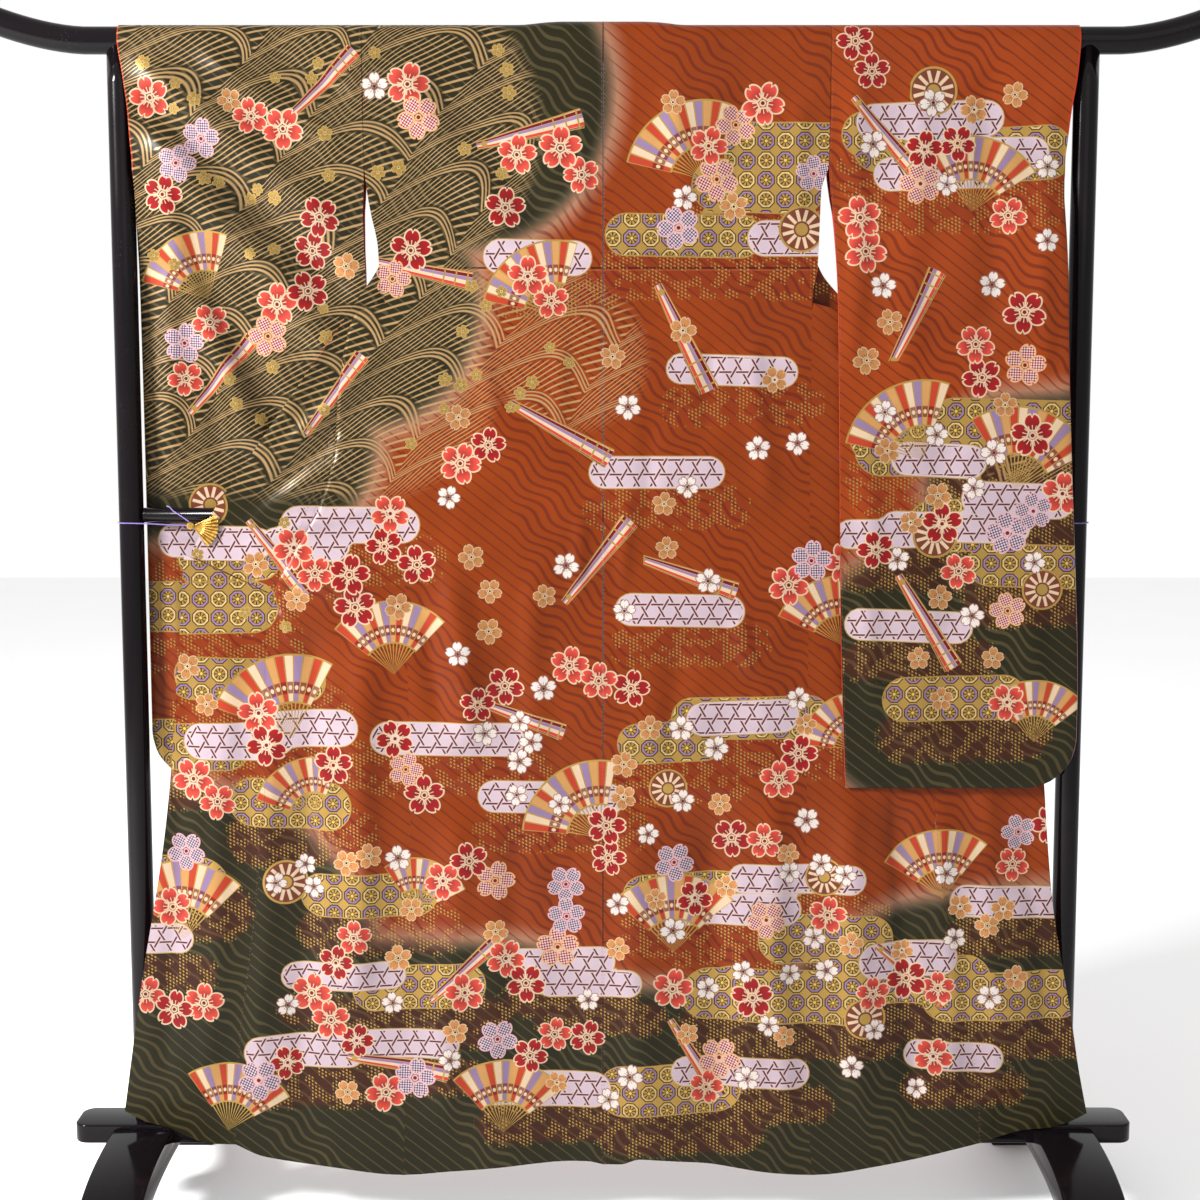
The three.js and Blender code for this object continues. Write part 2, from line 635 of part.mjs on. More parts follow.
// An arched foot that runs from front to back, notched to take the board.
function foot() {
  const arch = (halfDepth, top, steps) =>
    Array.from({ length: steps + 1 }, (_, i) => {
      const angle = Math.PI * (i / steps);
      const power = 2 / FOOT.roundness;
      const [c, s] = [Math.cos(angle), Math.max(Math.sin(angle), 0)];
      return new THREE.Vector2(halfDepth * Math.sign(c) * Math.abs(c) ** power, top * s ** power);
    });
  const STEPS = 36;
  const outer = arch(FOOT.halfDepth, FOOT.top, STEPS);
  const inner = arch(FOOT.halfDepth - FOOT.thick, FOOT.top - FOOT.thick, STEPS);
  const shape = new THREE.Shape([...outer, ...inner.reverse()]);
  const arched = new THREE.ExtrudeGeometry(shape, { depth: FOOT.width, bevelEnabled: false });
  arched.rotateX(Math.PI / 2).rotateZ(Math.PI / 2).translate(-FOOT.width / 2, 0, 0);
  const notchBottom = BOARD.bottom - REST_GAP;
  const notchHeight = 2 * (FOOT.top - notchBottom);
  const notch = new THREE.BoxGeometry(2 * FOOT.width, 2 * (BOARD.halfDepth + REST_GAP), notchHeight);
  notch.translate(0, 0, notchBottom + notchHeight / 2);
  return fromSolid(solid(arched).subtract(solid(notch)));
}

// ---------- clips and their strings ----------

const CLIP = {
  x: 566, z: 999, front: -23.8, radius: 35, plate: 1.4, grip: 6.4, lowest: -56, spread: 80, ribs: 9, knob: 5,
};

// A fan-shaped spring clip: a ribbed fan before the cloth and a plain one behind it, on a knob.
function clip(side) {
  const fan = (ribbed) => {
    const rim = Array.from({ length: 2 * CLIP.ribs + 1 }, (_, i) => {
      const angle = THREE.MathUtils.degToRad(CLIP.lowest + (CLIP.spread * i) / (2 * CLIP.ribs));
      const radius = CLIP.radius * (ribbed && i % 2 ? 0.95 : 1);
      return new THREE.Vector2(radius * Math.cos(angle), radius * Math.sin(angle));
    });
    const shape = new THREE.Shape([new THREE.Vector2(-4, -2), ...rim, new THREE.Vector2(-2, 4)]);
    const plate = new THREE.ExtrudeGeometry(shape, { depth: CLIP.plate, bevelEnabled: false });
    return plate.rotateX(Math.PI / 2).translate(0, ribbed ? 0 : CLIP.plate + CLIP.grip, 0);
  };
  const knob = new THREE.CylinderGeometry(CLIP.knob, CLIP.knob, 2 * CLIP.plate + CLIP.grip + 3, 16);
  knob.translate(-4, CLIP.grip / 2 - 0.5, 0);
  const shape = solid(fan(true)).add(solid(fan(false))).add(solid(knob));
  const geometry = fromSolid(shape);
  if (side === "left") return geometry;
  geometry.scale(-1, 1, 1);
  return geometry.setIndex([...geometry.index.array].reverse());
}

const STRING_DIAMETER = 1.6;

// The strings' routes on the left, out from the middle: round the post, and up over the rail.
const STRINGS = {
  post: [
    [575.3, -21.5, 999], [600, -21, 1000], [632, -20, 1001.5], [657, -18.4, 1002], [669, -14, 1002],
    [675.4, -3, 1002], [673, 9, 1002], [665, 16.6, 1002],
  ],
  rail: [[572.4, -21.5, 1004.4], [584, -18.5, 1012], [596, -13, 1019], [603, -6, 1024], [608, 3, 1024.6]],
};

function string(side, name) {
  const line = new THREE.CatmullRomCurve3(
    STRINGS[name].map(([out, y, z]) => new THREE.Vector3(SIDES[side] * out, y, z)),
  );
  const SIDES_ROUND = 8;
  const steps = Math.round(line.getLength() / (3 * STRING_DIAMETER));
  return new THREE.ExtrudeGeometry(circle(STRING_DIAMETER / 2, SIDES_ROUND), { steps, extrudePath: line });
}

// ---------- the part ----------

const LACQUER = new THREE.MeshStandardMaterial({ color: 0x0b0a0c, roughness: 0.12, metalness: 0 });
const SILK_RUST = new THREE.MeshStandardMaterial({ color: 0xb0481e, roughness: 0.45, metalness: 0 });
const SILK_OLIVE = new THREE.MeshStandardMaterial({ color: 0x4a472c, roughness: 0.45, metalness: 0 });
const GOLD = new THREE.MeshStandardMaterial({ color: 0xc9a85a, roughness: 0.3, metalness: 1 });
const PURPLE = new THREE.MeshStandardMaterial({ color: 0x4a2b86, roughness: 0.7, metalness: 0 });

const part = new THREE.Group();

function add(name, geometry, material, place = [0, 0, 0]) {
  const mesh = new THREE.Mesh(geometry, material);
  mesh.name = name;
  mesh.position.set(...place);
  part.add(mesh);
}

add("body_left", body("left"), SILK_OLIVE);
add("body_right", body("right"), SILK_RUST);
add("overlap_left", overlap("left"), SILK_RUST);
add("overlap_right", overlap("right"), SILK_OLIVE);
add("collar", collar(), SILK_OLIVE);
add("sleeve_left", sleeveBag("left"), SILK_OLIVE);
add("sleeve_right", sleeveBag("right"), SILK_RUST);

add("top_bar", topBar(), LACQUER);
add("middle_rail", middleRail(), LACQUER, [0, 0, RAIL_Z]);
add("bottom_board", bottomBoard(), LACQUER, [0, 0, BOARD.bottom]);
for (const [side, sign] of Object.entries(SIDES)) {
  add(`post_${side}`, post(), LACQUER, [sign * POST_X, 0, 0]);
  add(`foot_${side}`, foot(), LACQUER, [sign * FOOT.x, 0, 0]);
  add(`clip_${side}`, clip(side), GOLD, [sign * CLIP.x, CLIP.front, CLIP.z]);
  add(`string_post_${side}`, string(side, "post"), PURPLE);
  add(`string_rail_${side}`, string(side, "rail"), PURPLE);
}

export default part;
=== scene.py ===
"""A furisode kimono, hung back side out over the bar of a black lacquered kimono stand.

X runs along the bar, the garment's back faces -Y and Z is up. Left and right are as seen from that side.
"""

import math

import bpy
import numpy as np
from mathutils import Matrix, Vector


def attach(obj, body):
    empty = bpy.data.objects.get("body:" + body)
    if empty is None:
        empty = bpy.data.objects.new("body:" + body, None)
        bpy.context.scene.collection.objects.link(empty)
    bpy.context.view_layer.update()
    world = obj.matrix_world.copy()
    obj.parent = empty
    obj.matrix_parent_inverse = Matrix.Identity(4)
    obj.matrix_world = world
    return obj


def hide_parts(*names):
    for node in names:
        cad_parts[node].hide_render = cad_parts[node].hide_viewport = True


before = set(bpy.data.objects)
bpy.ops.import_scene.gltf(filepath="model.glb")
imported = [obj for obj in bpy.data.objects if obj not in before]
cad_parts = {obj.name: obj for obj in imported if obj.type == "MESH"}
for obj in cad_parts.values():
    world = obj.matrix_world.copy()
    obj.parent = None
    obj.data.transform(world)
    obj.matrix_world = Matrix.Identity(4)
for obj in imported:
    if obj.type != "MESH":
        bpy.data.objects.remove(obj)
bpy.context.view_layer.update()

M = 0.001  # metres in a millimetre: the tables below are in millimetres

# ---------- the camera ----------

CAMERA_PLACE = (-0.0042, -2.782, 1.210)  # metres
CAMERA_TILT = math.radians(83.5)
CAMERA_LENS = 60


def make_camera():
    data = bpy.data.cameras.new("camera")
    data.lens = CAMERA_LENS
    camera = bpy.data.objects.new("camera", data)
    camera.location = CAMERA_PLACE
    camera.rotation_euler = (CAMERA_TILT, 0, 0)
    bpy.context.collection.objects.link(camera)
    bpy.context.scene.camera = camera


make_camera()

# ---------- sizes that the garment and its stand share ----------

BAR_RADIUS = 18.5
BAR_Z = 1657
BAR_HALF_LENGTH = 862
BAR_STRAIGHT_HALF = 700
BAR_END_RISE = 42
BAR_END_CURVE = 1.7
POST_X = 657
POST_RADIUS = 17
RAIL_RADIUS = 10.5
RAIL_Z = 1012
BOARD = {"half_length": 755, "half_depth": 36, "bottom": 117, "top": 144, "corner": 20}
FOOT = {"x": 655, "width": 84, "half_depth": 290, "top": 138, "thick": 40, "roundness": 3}

WALL = 1.6
SEAM_GAP = 0.12
REST_GAP = 0.3
ROUNDING = 1e-6
LOOSE = 0.5
WRAP_RADIUS = BAR_RADIUS + LOOSE + WALL / 2
QUARTER_WRAP = WRAP_RADIUS * math.pi / 2
NECK_HALF = 80
NECK_RISE = 4.5
NECK_RISE_REACH = 45
NECK_RISE_PAST = 18
NECK_RISE_RAMP = 28
HEM_Z = 80
SLEEVE_BOTTOM_Z = 635
SLEEVE_CORNER = 70
SLEEVE_BEND = 2.7
HAND_OPENING_END_Z = 1447
SEAM_TOP_Z = 870
COLLAR_END_Z = 905
TIP_TOP_Z = 1423
TURN_LOW_Z = 1455
SIDE_SEAM_TOP_Z = 1290
HEM_CURVE_Z = 520
CLIMB_LOW_Z = 620
CLIP = {
    "x": 566, "z": 999, "front": -23.8, "radius": 35, "plate": 1.4, "grip": 6.4, "lowest": -56, "spread": 80,
    "ribs": 9, "knob": 5,
}  # fmt: skip
SIDES = {"left": -1, "right": 1}


def smooth_curve(keys, values, at):
    """Values at the keys of `at`, by a cubic that never overshoots; values may have further axes."""
    keys, values, at = np.asarray(keys, float), np.asarray(values, float), np.asarray(at, float)
    widths = np.diff(keys)
    shape = (-1,) + (1,) * (values.ndim - 1)
    slopes = np.diff(values, axis=0) / widths.reshape(shape)
    tangents = np.empty_like(values)
    tangents[0], tangents[-1] = slopes[0], slopes[-1]
    before, after = slopes[:-1], slopes[1:]
    both = before + after
    same_way = before * after > 0
    tangents[1:-1] = np.where(same_way, 2 * before * after / np.where(same_way, both, 1), 0)
    at = np.clip(at, keys[0], keys[-1])
    i = np.clip(np.searchsorted(keys, at, side="right") - 1, 0, len(keys) - 2)
    step = widths[i].reshape(at.shape + (1,) * (values.ndim - 1))
    t = ((at - keys[i]) / widths[i]).reshape(step.shape)
    return (
        values[i] * (1 + 2 * t) * (1 - t) ** 2
        + tangents[i] * step * t * (1 - t) ** 2
        + values[i + 1] * t * t * (3 - 2 * t)
        + tangents[i + 1] * step * t * t * (t - 1)
    )


def table(columns, rows):
    """look(name, key): the named column at a key or keys, smoothly between the rows."""
    cells = np.array(sorted(rows, key=lambda row: row[0]), float)
    names = columns.split()

    def look(name, key):
        found = smooth_curve(cells[:, 0], cells[:, names.index(name)], np.atleast_1d(key))
        return found if np.ndim(key) else float(found[0])

    return look


ROW_Z = [
    BAR_Z, 1610, 1560, 1520, 1491, 1455, 1423, 1380, 1345, 1320, 1290, 1240, 1172, 1125, 1077, 1035, 994,
    950, 905, 870, 810, 730, 640, 550, 460, 370, 280, 190, 130, HEM_Z,
]  # fmt: skip

# The back's place in depth at each height: minus is towards the side that it faces.
hang = table("z y", [
    (BAR_Z, -WRAP_RADIUS), (1610, -19.9), (1560, -20.2), (1520, -20.8), (1491, -21.5), (1345, -24),
    (1172, -26.5), (994, -28), (870, -29), (620, -32), (395, -35.5), (170, -40), (HEM_Z, -41.5),
])  # fmt: skip

# Half widths of the back from its middle seam.
back_side = {
    "left": table("z x", [
        (BAR_Z, 325.6), (1488, 324), (1422, 315), (1375, 306), (1335, 304), (1308, 297), (1172, 278),
        (1035, 276), (896, 274), (614, 269), (494, 272), (HEM_Z, 284),
    ]),
    "right": table("z x", [
        (BAR_Z, 307.6), (1488, 306), (1468, 297), (1348, 292), (1308, 285), (614, 285), (281, 284),
        (HEM_Z, 298),
    ]),
}  # fmt: skip

# The seam between front and overlap, and the free front edge, below the collar's end.
overlap_seam = {
    "left": table("z x", [
        (870, 464), (785, 470), (604, 473), (543, 481), (434, 490), (322, 506), (259, 513), (119, 522),
    ]),
    "right": table("z x", [
        (870, 462), (614, 464), (493, 475), (408, 495), (319, 511), (244, 523), (120, 534),
    ]),
}  # fmt: skip
front_edge = {
    "left": table("z x", [
        (960, 572), (897, 581), (785, 591), (658, 605), (615, 609), (472, 631), (385, 647), (253, 668),
        (162, 681),
    ]),
    "right": table("z x", [
        (960, 575), (628, 619), (542, 626), (441, 637), (325, 660), (266, 669), (160, 689),
    ]),
}  # fmt: skip

hem = table("x z", [
    (-681, 165), (-640, 146), (-610, 140), (-585, 126), (-560, 119), (-522, 118), (-504, 106), (-390, 85),
    (-284, 73), (-219, 78), (-26, 93), (-4, 90), (16, 84), (39, 97), (139, 90), (298, 73), (397, 87),
    (532, 119), (600, 139), (640, 142), (689, 162),
])  # fmt: skip

# The front as it turns from behind the bar to the side: its side edge, the fold that shows, the tuck
# behind it and its far edge, and how far each lies behind the back.
TURN_ROWS = [
    (BAR_Z, 325.6, 242, 161, NECK_HALF) + (2 * WRAP_RADIUS,) * 4,
    (1610, 325.6, 243, 160, 81, 39.4, 41, 41, 40.5),
    (1560, 325.2, 235, 90, 98, 39.6, 38, 38, 46),
    (1520, 324.6, 212, 106, 130, 40.1, 33, 31, 45),
    (1491, 323.9, 215, 118, 155, 40.1, 29, 27, 42),
    (1455, 318.5, 222, 131, 190, 32, 24, 20, 36),
    (1423, 313.5, 228, 140, 213, 24, 20, 16, 30),
    (1380, 306, 235, 150, 242, 14.5, 14, 13, 25),
    (1345, 302, 243, 156, 265, 6.5, 9, 11, 21),
    (1320, 300.8, 247, 161, 281, 3.2, 7, 10, 19.5),
    (1290, 293.5, 337, 210, 300, 0, -3, 9, 18.5),
    (1240, 286, 355, 245, 328, 0, -4.5, 7.5, 16),
    (1172, 278.4, 363, 272, 359, 0, -5.5, 5, 14),
    (1077, 277, 374, 297, 378, 0, -5.5, 3.5, 12.5),
    (994, 276, 408, 352, 412, 0, -5, 3.5, 12.4),
    (950, 275.5, 434, 393, 436, 0, -4.5, 3, 11),
    (905, 274.8, 455, 427, 458, 0, -4, 2.5, 9),
    (870, 273.5, 438, 451, 464, 0, -1.5, 1, 4),
    (815, 272, 410, 440, 468, 0, -1, 0, 2.5),
    (755, 271, 375, 425, 471, 0, -2, -1, 2),
    (620, 269.5, 337, 405, 472, 0, -3, -2, 1),
    (395, 274, 348, 421, 495, 0, -2, -1, 1),
    (HEM_Z, 284, 363, 443, 522, 0, 0, 0, 0),
]
turn = table("z side fold tuck edge sideBack foldBack tuckBack edgeBack", TURN_ROWS)

tip_width = table("z width", [(TIP_TOP_Z, 3), (1345, 4), (1172, 8), (1077, 10), (994, 9), (COLLAR_END_Z, 6)])

# The line along which the collar is drawn taut to the clip, and how the collar lies at the neck and below.
TAUT = {"x": 324, "z": 1328, "out_per_down": 0.7}
COLLAR_NECK_WIDTH = 55
COLLAR_NECK_XS = (-53, -27, 0, 27, 53)
COLLAR_NECK_LEAN = {"corner": 0.3, "side": 0.45}
NECK_GAP = 0.7
COLLAR_LEAN = {"out": 0.82, "down": -0.57}
COLLAR_END_RISE = 54
COLLAR_ACROSS = [0, 0.13, 0.27, 0.42, 0.62, 1]
COLLAR_FINE = 6
TURNED_BEHIND = 2.4
FREE_EDGE_BACK = 6
collar_turn = table("z out down back width", [
    (BAR_Z, -0.45, 0.89, 0, COLLAR_NECK_WIDTH),
    (1610, -0.55, 0.62, 0.55, COLLAR_NECK_WIDTH),
    (1560, -0.1, 0.05, 1, COLLAR_NECK_WIDTH),
    (1520, 0.5, -0.35, 0.8, 50),
    (1491, 0.72, -0.5, 0.48, 45),
    (1455, 0.8, -0.57, 0.17, 40),
])  # fmt: skip

sleeve = {
    "left": table("z inner nearOut farOut near far", [
        (BAR_Z, 326, 655.5, 655.5, -WRAP_RADIUS, WRAP_RADIUS),
        (1610, 326, 649, 649, -19.9, 19.6),
        (1560, 325.6, 643.5, 643.5, -20.2, 19.4),
        (1520, 325, 641, 640.6, -20.8, 19.3),
        (1491, 324.4, 638.7, 638.7, -21.5, 18.6),
        (1447, 326.5, 638.7, 638.7, -14, 17.5),
        (1423, 328, 638.7, 638.7, -9.5, 16.8),
        (1380, 328, 638.7, 638.7, -1.5, 16),
        (1345, 327, 638.7, 638.7, 4, 15.6),
        (1290, 327, 638.7, 638.7, 7.5, 15.8),
        (1240, 327, 638.7, 638.7, 9.5, 16.6),
        (1172, 327, 638.7, 638.7, 12, 18),
        (1077, 327, 638.7, 638.7, 13.5, 18.9),
        (994, 327, 638.7, 638.7, 13.6, 19),
        (SLEEVE_BOTTOM_Z, 325, 638.7, 638.7, 13.6, 19),
    ]),
    "right": table("z inner nearOut farOut near far", [
        (BAR_Z, 308, 644, 644, -WRAP_RADIUS, WRAP_RADIUS),
        (1610, 308, 641, 641, -19.9, 19.6),
        (1560, 307.7, 633.5, 633.5, -20.2, 19.4),
        (1520, 307.2, 629, 629, -20.8, 19.3),
        (1491, 306.4, 626, 626, -21.5, 18.6),
        (1447, 309, 626, 626, -27, -2),
        (1423, 312, 627, 627, -31, -14),
        (1380, 315, 629, 629, -38, -27),
        (1345, 317, 630, 630, -42, -34),
        (1290, 319, 631, 631, -46, -40.6),
        (1172, 322, 636, 636, -46, -40.6),
        (1077, 324, 641, 641, -46, -40.6),
        (905, 327, 651, 651, -46, -40.6),
        (755, 332, 657, 657, -46, -40.6),
        (SLEEVE_BOTTOM_Z, 338, 657, 657, -46, -40.6),
    ]),
}  # fmt: skip
SLEEVE_ROWS = [
    HAND_OPENING_END_Z, TIP_TOP_Z, 1380, 1345, 1320, 1290, 1240, 1172, 1077, 994, 905, 815, 755,
]  # fmt: skip
SLEEVE_LAST_ROWS = (SLEEVE_CORNER, 44, 24, 10, 3.5, 1, 0)  # above its bottom
SLEEVE_ACROSS = [0, 0.14, 0.28, 0.42, 0.56, 0.7, 0.85]
SLEEVE_LAST_COLUMNS = (3.5, 1, 0)  # in from its outer edge

# Into how many parts a piece is divided across, and how the front turns at its fold and its tuck.
NECK_PARTS = 3
OVERLAP_PARTS = 5
FRONT_PARTS = [3, 1, 1, 2, 1, 1, 2]
SHARP_TURN, SOFT_TURN = 4, 9
SOFT_FOLD_BACK, SOFT_TUCK_BACK = 0.2, 0.5

# Broad soft folds that hang in back and fronts: place, top, bottom, half width, and how far forward.
FOLD_FADE = 80
FOLDS = [
    (-205, 1010, 640, 42, 5),
    (-150, 620, 20, 46, 4),
    (-60, 700, 20, 38, -4),
    (70, 820, 20, 44, 4),
    (150, 620, 20, 36, -4),
    (225, 980, 20, 40, 4),
    (-350, 820, 120, 42, 5),
    (-425, 600, 60, 34, -4),
    (-560, 820, 200, 34, 4),
    (370, 700, 60, 40, 4),
    (590, 560, 160, 34, 4),
]


def mix(a, b, t):
    return a + (b - a) * t


def ease(t):
    c = np.clip(t, 0, 1)
    return c * c * (3 - 2 * c)


def folds_at(x, z):
    total = 0
    for place, top, bottom, half_width, forward in FOLDS:
        reach = min(FOLD_FADE, (top - bottom) / 2)
        along = ease((top - z) / reach) * ease((z - bottom) / reach)
        total += forward * along * math.exp(-(((x - place) / half_width) ** 2))
    return total


def over_bar(x, down):
    """A place on cloth laid over the bar; down is the distance from its top, minus on the near side."""
    rise = NECK_RISE * ease((NECK_HALF + NECK_RISE_PAST - abs(x)) / NECK_RISE_RAMP)
    radius = WRAP_RADIUS + rise * (1 - ease(abs(down) / NECK_RISE_REACH))
    if abs(down) < QUARTER_WRAP:
        angle = down / WRAP_RADIUS
        return (x, radius * math.sin(angle), BAR_Z + radius * math.cos(angle))
    return (x, math.copysign(radius, down), BAR_Z - (abs(down) - QUARTER_WRAP))


def to_hem(x, z):
    """A height, drawn down or up to the curved hem in the garment's lowest part."""
    pull = min(max((HEM_CURVE_Z - z) / (HEM_CURVE_Z - HEM_Z), 0), 1) ** 2
    return z + (hem("z", x) - HEM_Z) * pull


def down_to(z):
    """The way along the cloth from the top of the bar down to a height."""
    return QUARTER_WRAP + BAR_Z - z


WRAP_STEPS = [QUARTER_WRAP * i / 4 for i in range(4)]
ROW_DOWN = WRAP_STEPS + [down_to(z) for z in ROW_Z]


def fitted(side, out, z):
    """Widens or narrows a distance from the middle so that the front's side edge meets the back's."""
    change = back_side[side]("x", z) - turn("side", z)
    return out + change * (out - NECK_HALF) / (turn("side", z) - NECK_HALF)


def edge_out(side, z):
    if z > SEAM_TOP_Z:
        return fitted(side, turn("edge", z), z)
    return overlap_seam[side]("x", z)


def front_section(side, z):
    """One row of the front, from its side edge to its far edge, round the fold and the tuck."""
    side_out = fitted(side, turn("side", z), z)
    scale = (edge_out(side, z) - side_out) / (turn("edge", z) - turn("side", z))

    def place(name):
        if z > SEAM_TOP_Z:
            return fitted(side, turn(name, z), z)
        return side_out + (turn(name, z) - turn("side", z)) * scale

    edge0, fold, tuck, edge = [place(name) for name in ("side", "fold", "tuck", "edge")]
    b_side, b_fold, b_tuck, b_edge = [turn(n + "Back", z) for n in ("side", "fold", "tuck", "edge")]
    sharp_fold = np.sign(edge0 - fold) == np.sign(tuck - fold)
    sharp_tuck = np.sign(fold - tuck) == np.sign(edge - tuck)
    at_fold = min(SHARP_TURN if sharp_fold else SOFT_TURN, abs(tuck - fold) / 3)
    at_tuck = min(SHARP_TURN if sharp_tuck else SOFT_TURN, abs(edge - tuck) / 3)
    past_fold = mix(b_fold, b_tuck, 1 if sharp_fold else SOFT_FOLD_BACK)
    past_tuck = mix(b_tuck, b_edge, 1 if sharp_tuck else SOFT_TUCK_BACK)
    stops = [
        (edge0, b_side),
        (fold + np.sign(edge0 - fold) * at_fold, b_fold),
        (fold, (b_fold + past_fold) / 2),
        (fold + np.sign(tuck - fold) * at_fold, past_fold),
        (tuck + np.sign(fold - tuck) * at_tuck, b_tuck),
        (tuck, (b_tuck + b_edge) / 2),
        (tuck + np.sign(edge - tuck) * at_tuck, past_tuck),
        (edge, b_edge),
    ]
    points = []
    for start, end, parts in zip(stops, stops[1:], FRONT_PARTS):
        points += [(mix(start[0], end[0], k / parts), mix(start[1], end[1], k / parts)) for k in range(parts)]
    points.append(stops[-1])
    row = []
    for out, behind in points:
        x = SIDES[side] * out
        row.append((x, hang("y", z) + behind - folds_at(x, z), to_hem(x, z)))
    return row


# ---------- fine points on the garment's own surfaces ----------

FINE = 8  # the most that two neighbouring points of the cloth are apart


def split_keys(keys, step):
    """The keys with equal parts between them, none longer than the step."""
    fine = [keys[0]]
    for a, b in zip(keys, keys[1:]):
        parts = max(1, math.ceil((b - a) / step - ROUNDING))
        fine += [a + (b - a) * k / parts for k in range(1, parts + 1)]
    return np.array(fine)


def refined(rows, row_keys=None, step=FINE):
    """The rows of points with finer ones between them, and the fine row keys."""
    grid = np.array(rows, float)
    gaps = [np.linalg.norm(np.diff(grid, axis=a), axis=2).mean(axis=1 - a) for a in (0, 1)]
    spans = [np.concatenate([[0], np.cumsum(g)]) for g in gaps]
    row_keys = spans[0] if row_keys is None else np.array(row_keys, float)
    fine_rows, fine_cols = split_keys(row_keys, step), split_keys(spans[1], step)
    grid = smooth_curve(row_keys, grid, fine_rows)
    grid = np.swapaxes(smooth_curve(spans[1], np.swapaxes(grid, 0, 1), fine_cols), 0, 1)
    return grid, fine_rows


def design_of(grid, downs=None):
    """Where each point lies in the dyed design: across and up, in millimetres on the flat cloth."""
    design = grid[..., [0, 2]].copy()
    if downs is not None:
        over = np.abs(downs) < QUARTER_WRAP
        design[over, :, 1] = (BAR_Z + QUARTER_WRAP - np.abs(downs[over]))[:, None]
    return design


def patch(grid, design, panel, flip=False):
    return {"grid": grid, "design": design, "panel": panel, "flip": flip}


def body_patches(side):
    """The near half hangs as the back; the shared columns go on over the bar and become the front."""
    sign = SIDES[side]
    gap = sign * SEAM_GAP / 2
    top = front_section(side, BAR_Z)
    fronts = [[over_bar(p[0], down) for p in top] for down in WRAP_STEPS]
    fronts += [front_section(side, z) for z in ROW_Z]
    columns = [sign * NECK_HALF * i / NECK_PARTS for i in range(NECK_PARTS)] + [p[0] for p in top[::-1]]
    backs = [[over_bar(x or gap, -down) for x in columns] for down in WRAP_STEPS]
    for z in ROW_Z:
        xs = [mix(gap, sign * back_side[side]("x", z), c / columns[-1]) for c in columns]
        backs.append([(x, hang("y", z) - folds_at(x, z), to_hem(x, z)) for x in xs])
    shared = [row[NECK_PARTS:] for row in backs[::-1]] + [row[::-1] for row in fronts[1:]]
    keys = [-d for d in ROW_DOWN[::-1]] + ROW_DOWN[1:]
    grid, downs = refined(shared, keys)
    seam = downs >= down_to(SIDE_SEAM_TOP_Z) - ROUNDING
    grid[seam, -1] = grid[::-1][seam, -1]
    neck, _ = refined([row[: NECK_PARTS + 1] for row in backs], ROW_DOWN)
    half = len(downs) // 2
    neck[:, -1] = grid[half::-1, 0]
    return [
        patch(neck, design_of(neck, downs[half:]), "back"),
        patch(grid[half::-1], design_of(grid[half::-1], downs[half:]), "back"),
        patch(grid[half:], design_of(grid[half:], downs[half:]), "front", flip=True),
    ]


def overlap_patches(side):
    """The panel below the collar's end, and its narrow tip beside the collar."""
    sign = SIDES[side]

    def row_at(z):
        seam = edge_out(side, z) + SEAM_GAP
        tip = tip_width("width", max(z, COLLAR_END_Z))
        free = front_edge[side]("x", to_hem(sign * front_edge[side]("x", z), z))
        outs = [seam] + [mix(seam + tip, free, i / OVERLAP_PARTS) for i in range(OVERLAP_PARTS + 1)]
        climb = float(ease((z - CLIMB_LOW_Z) / (COLLAR_END_Z - CLIMB_LOW_Z)))
        row = []
        for i, out in enumerate(outs):
            x, across = sign * out, max(i - 1, 0) / OVERLAP_PARTS
            y = hang("y", z) + mix(turn("edgeBack", z), FREE_EDGE_BACK, across) - folds_at(x, z)
            clear = 2 * SEAM_GAP if z == COLLAR_END_Z and i > 0 else 0
            row.append((x, y, to_hem(x, z) + COLLAR_END_RISE * across * climb - clear))
        return row

    main, _ = refined([row_at(z) for z in ROW_Z if z <= COLLAR_END_Z])
    tips = [main[0, :2]]
    for z in [z for z in ROW_Z[::-1] if COLLAR_END_Z < z <= TIP_TOP_Z]:
        seam = edge_out(side, z) + SEAM_GAP
        y = hang("y", z) + turn("edgeBack", z)
        tips.append([(sign * out, y, z) for out in (seam, seam + tip_width("width", z))])
    tip, _ = refined(tips)
    tip[0] = main[0, :2]
    return [
        patch(main, design_of(main), "overlap"),
        patch(tip[::-1], design_of(tip[::-1]), "overlap"),
    ]


def collar_station(side, z):
    """One row across the collar, from its seam to its free edge."""
    sign = SIDES[side]
    turned = z >= TURN_LOW_Z
    tip = tip_width("width", z) + SEAM_GAP if z <= TIP_TOP_Z else 0
    seam = edge_out(side, z) + tip
    start, behind = seam + SEAM_GAP, 0
    if z == BAR_Z:
        start = seam - NECK_GAP
    if TURN_LOW_Z < z < BAR_Z:
        start, behind = seam, TURNED_BEHIND
    taut_at = TAUT["x"] + TAUT["out_per_down"] * (TAUT["z"] - z) + edge_out(side, z) - turn("edge", z)
    width = (taut_at - start) / (COLLAR_LEAN["out"] - TAUT["out_per_down"] * COLLAR_LEAN["down"])
    out, down, back = COLLAR_LEAN["out"], COLLAR_LEAN["down"], 0
    if turned:
        out, down, back, width = [collar_turn(n, z) for n in ("out", "down", "back", "width")]
    if z == COLLAR_END_Z:
        out, down, back, width = front_edge[side]("x", z + COLLAR_END_RISE) - start, -COLLAR_END_RISE, 0, 1
    y = hang("y", z) + turn("edgeBack", z) + behind
    row = []
    for k in COLLAR_ACROSS:
        lean = 0 if turned else (FREE_EDGE_BACK - turn("edgeBack", COLLAR_END_Z)) * k
        row.append((sign * (start + out * width * k), y + back * width * k + lean, z - down * width * k))
    return row


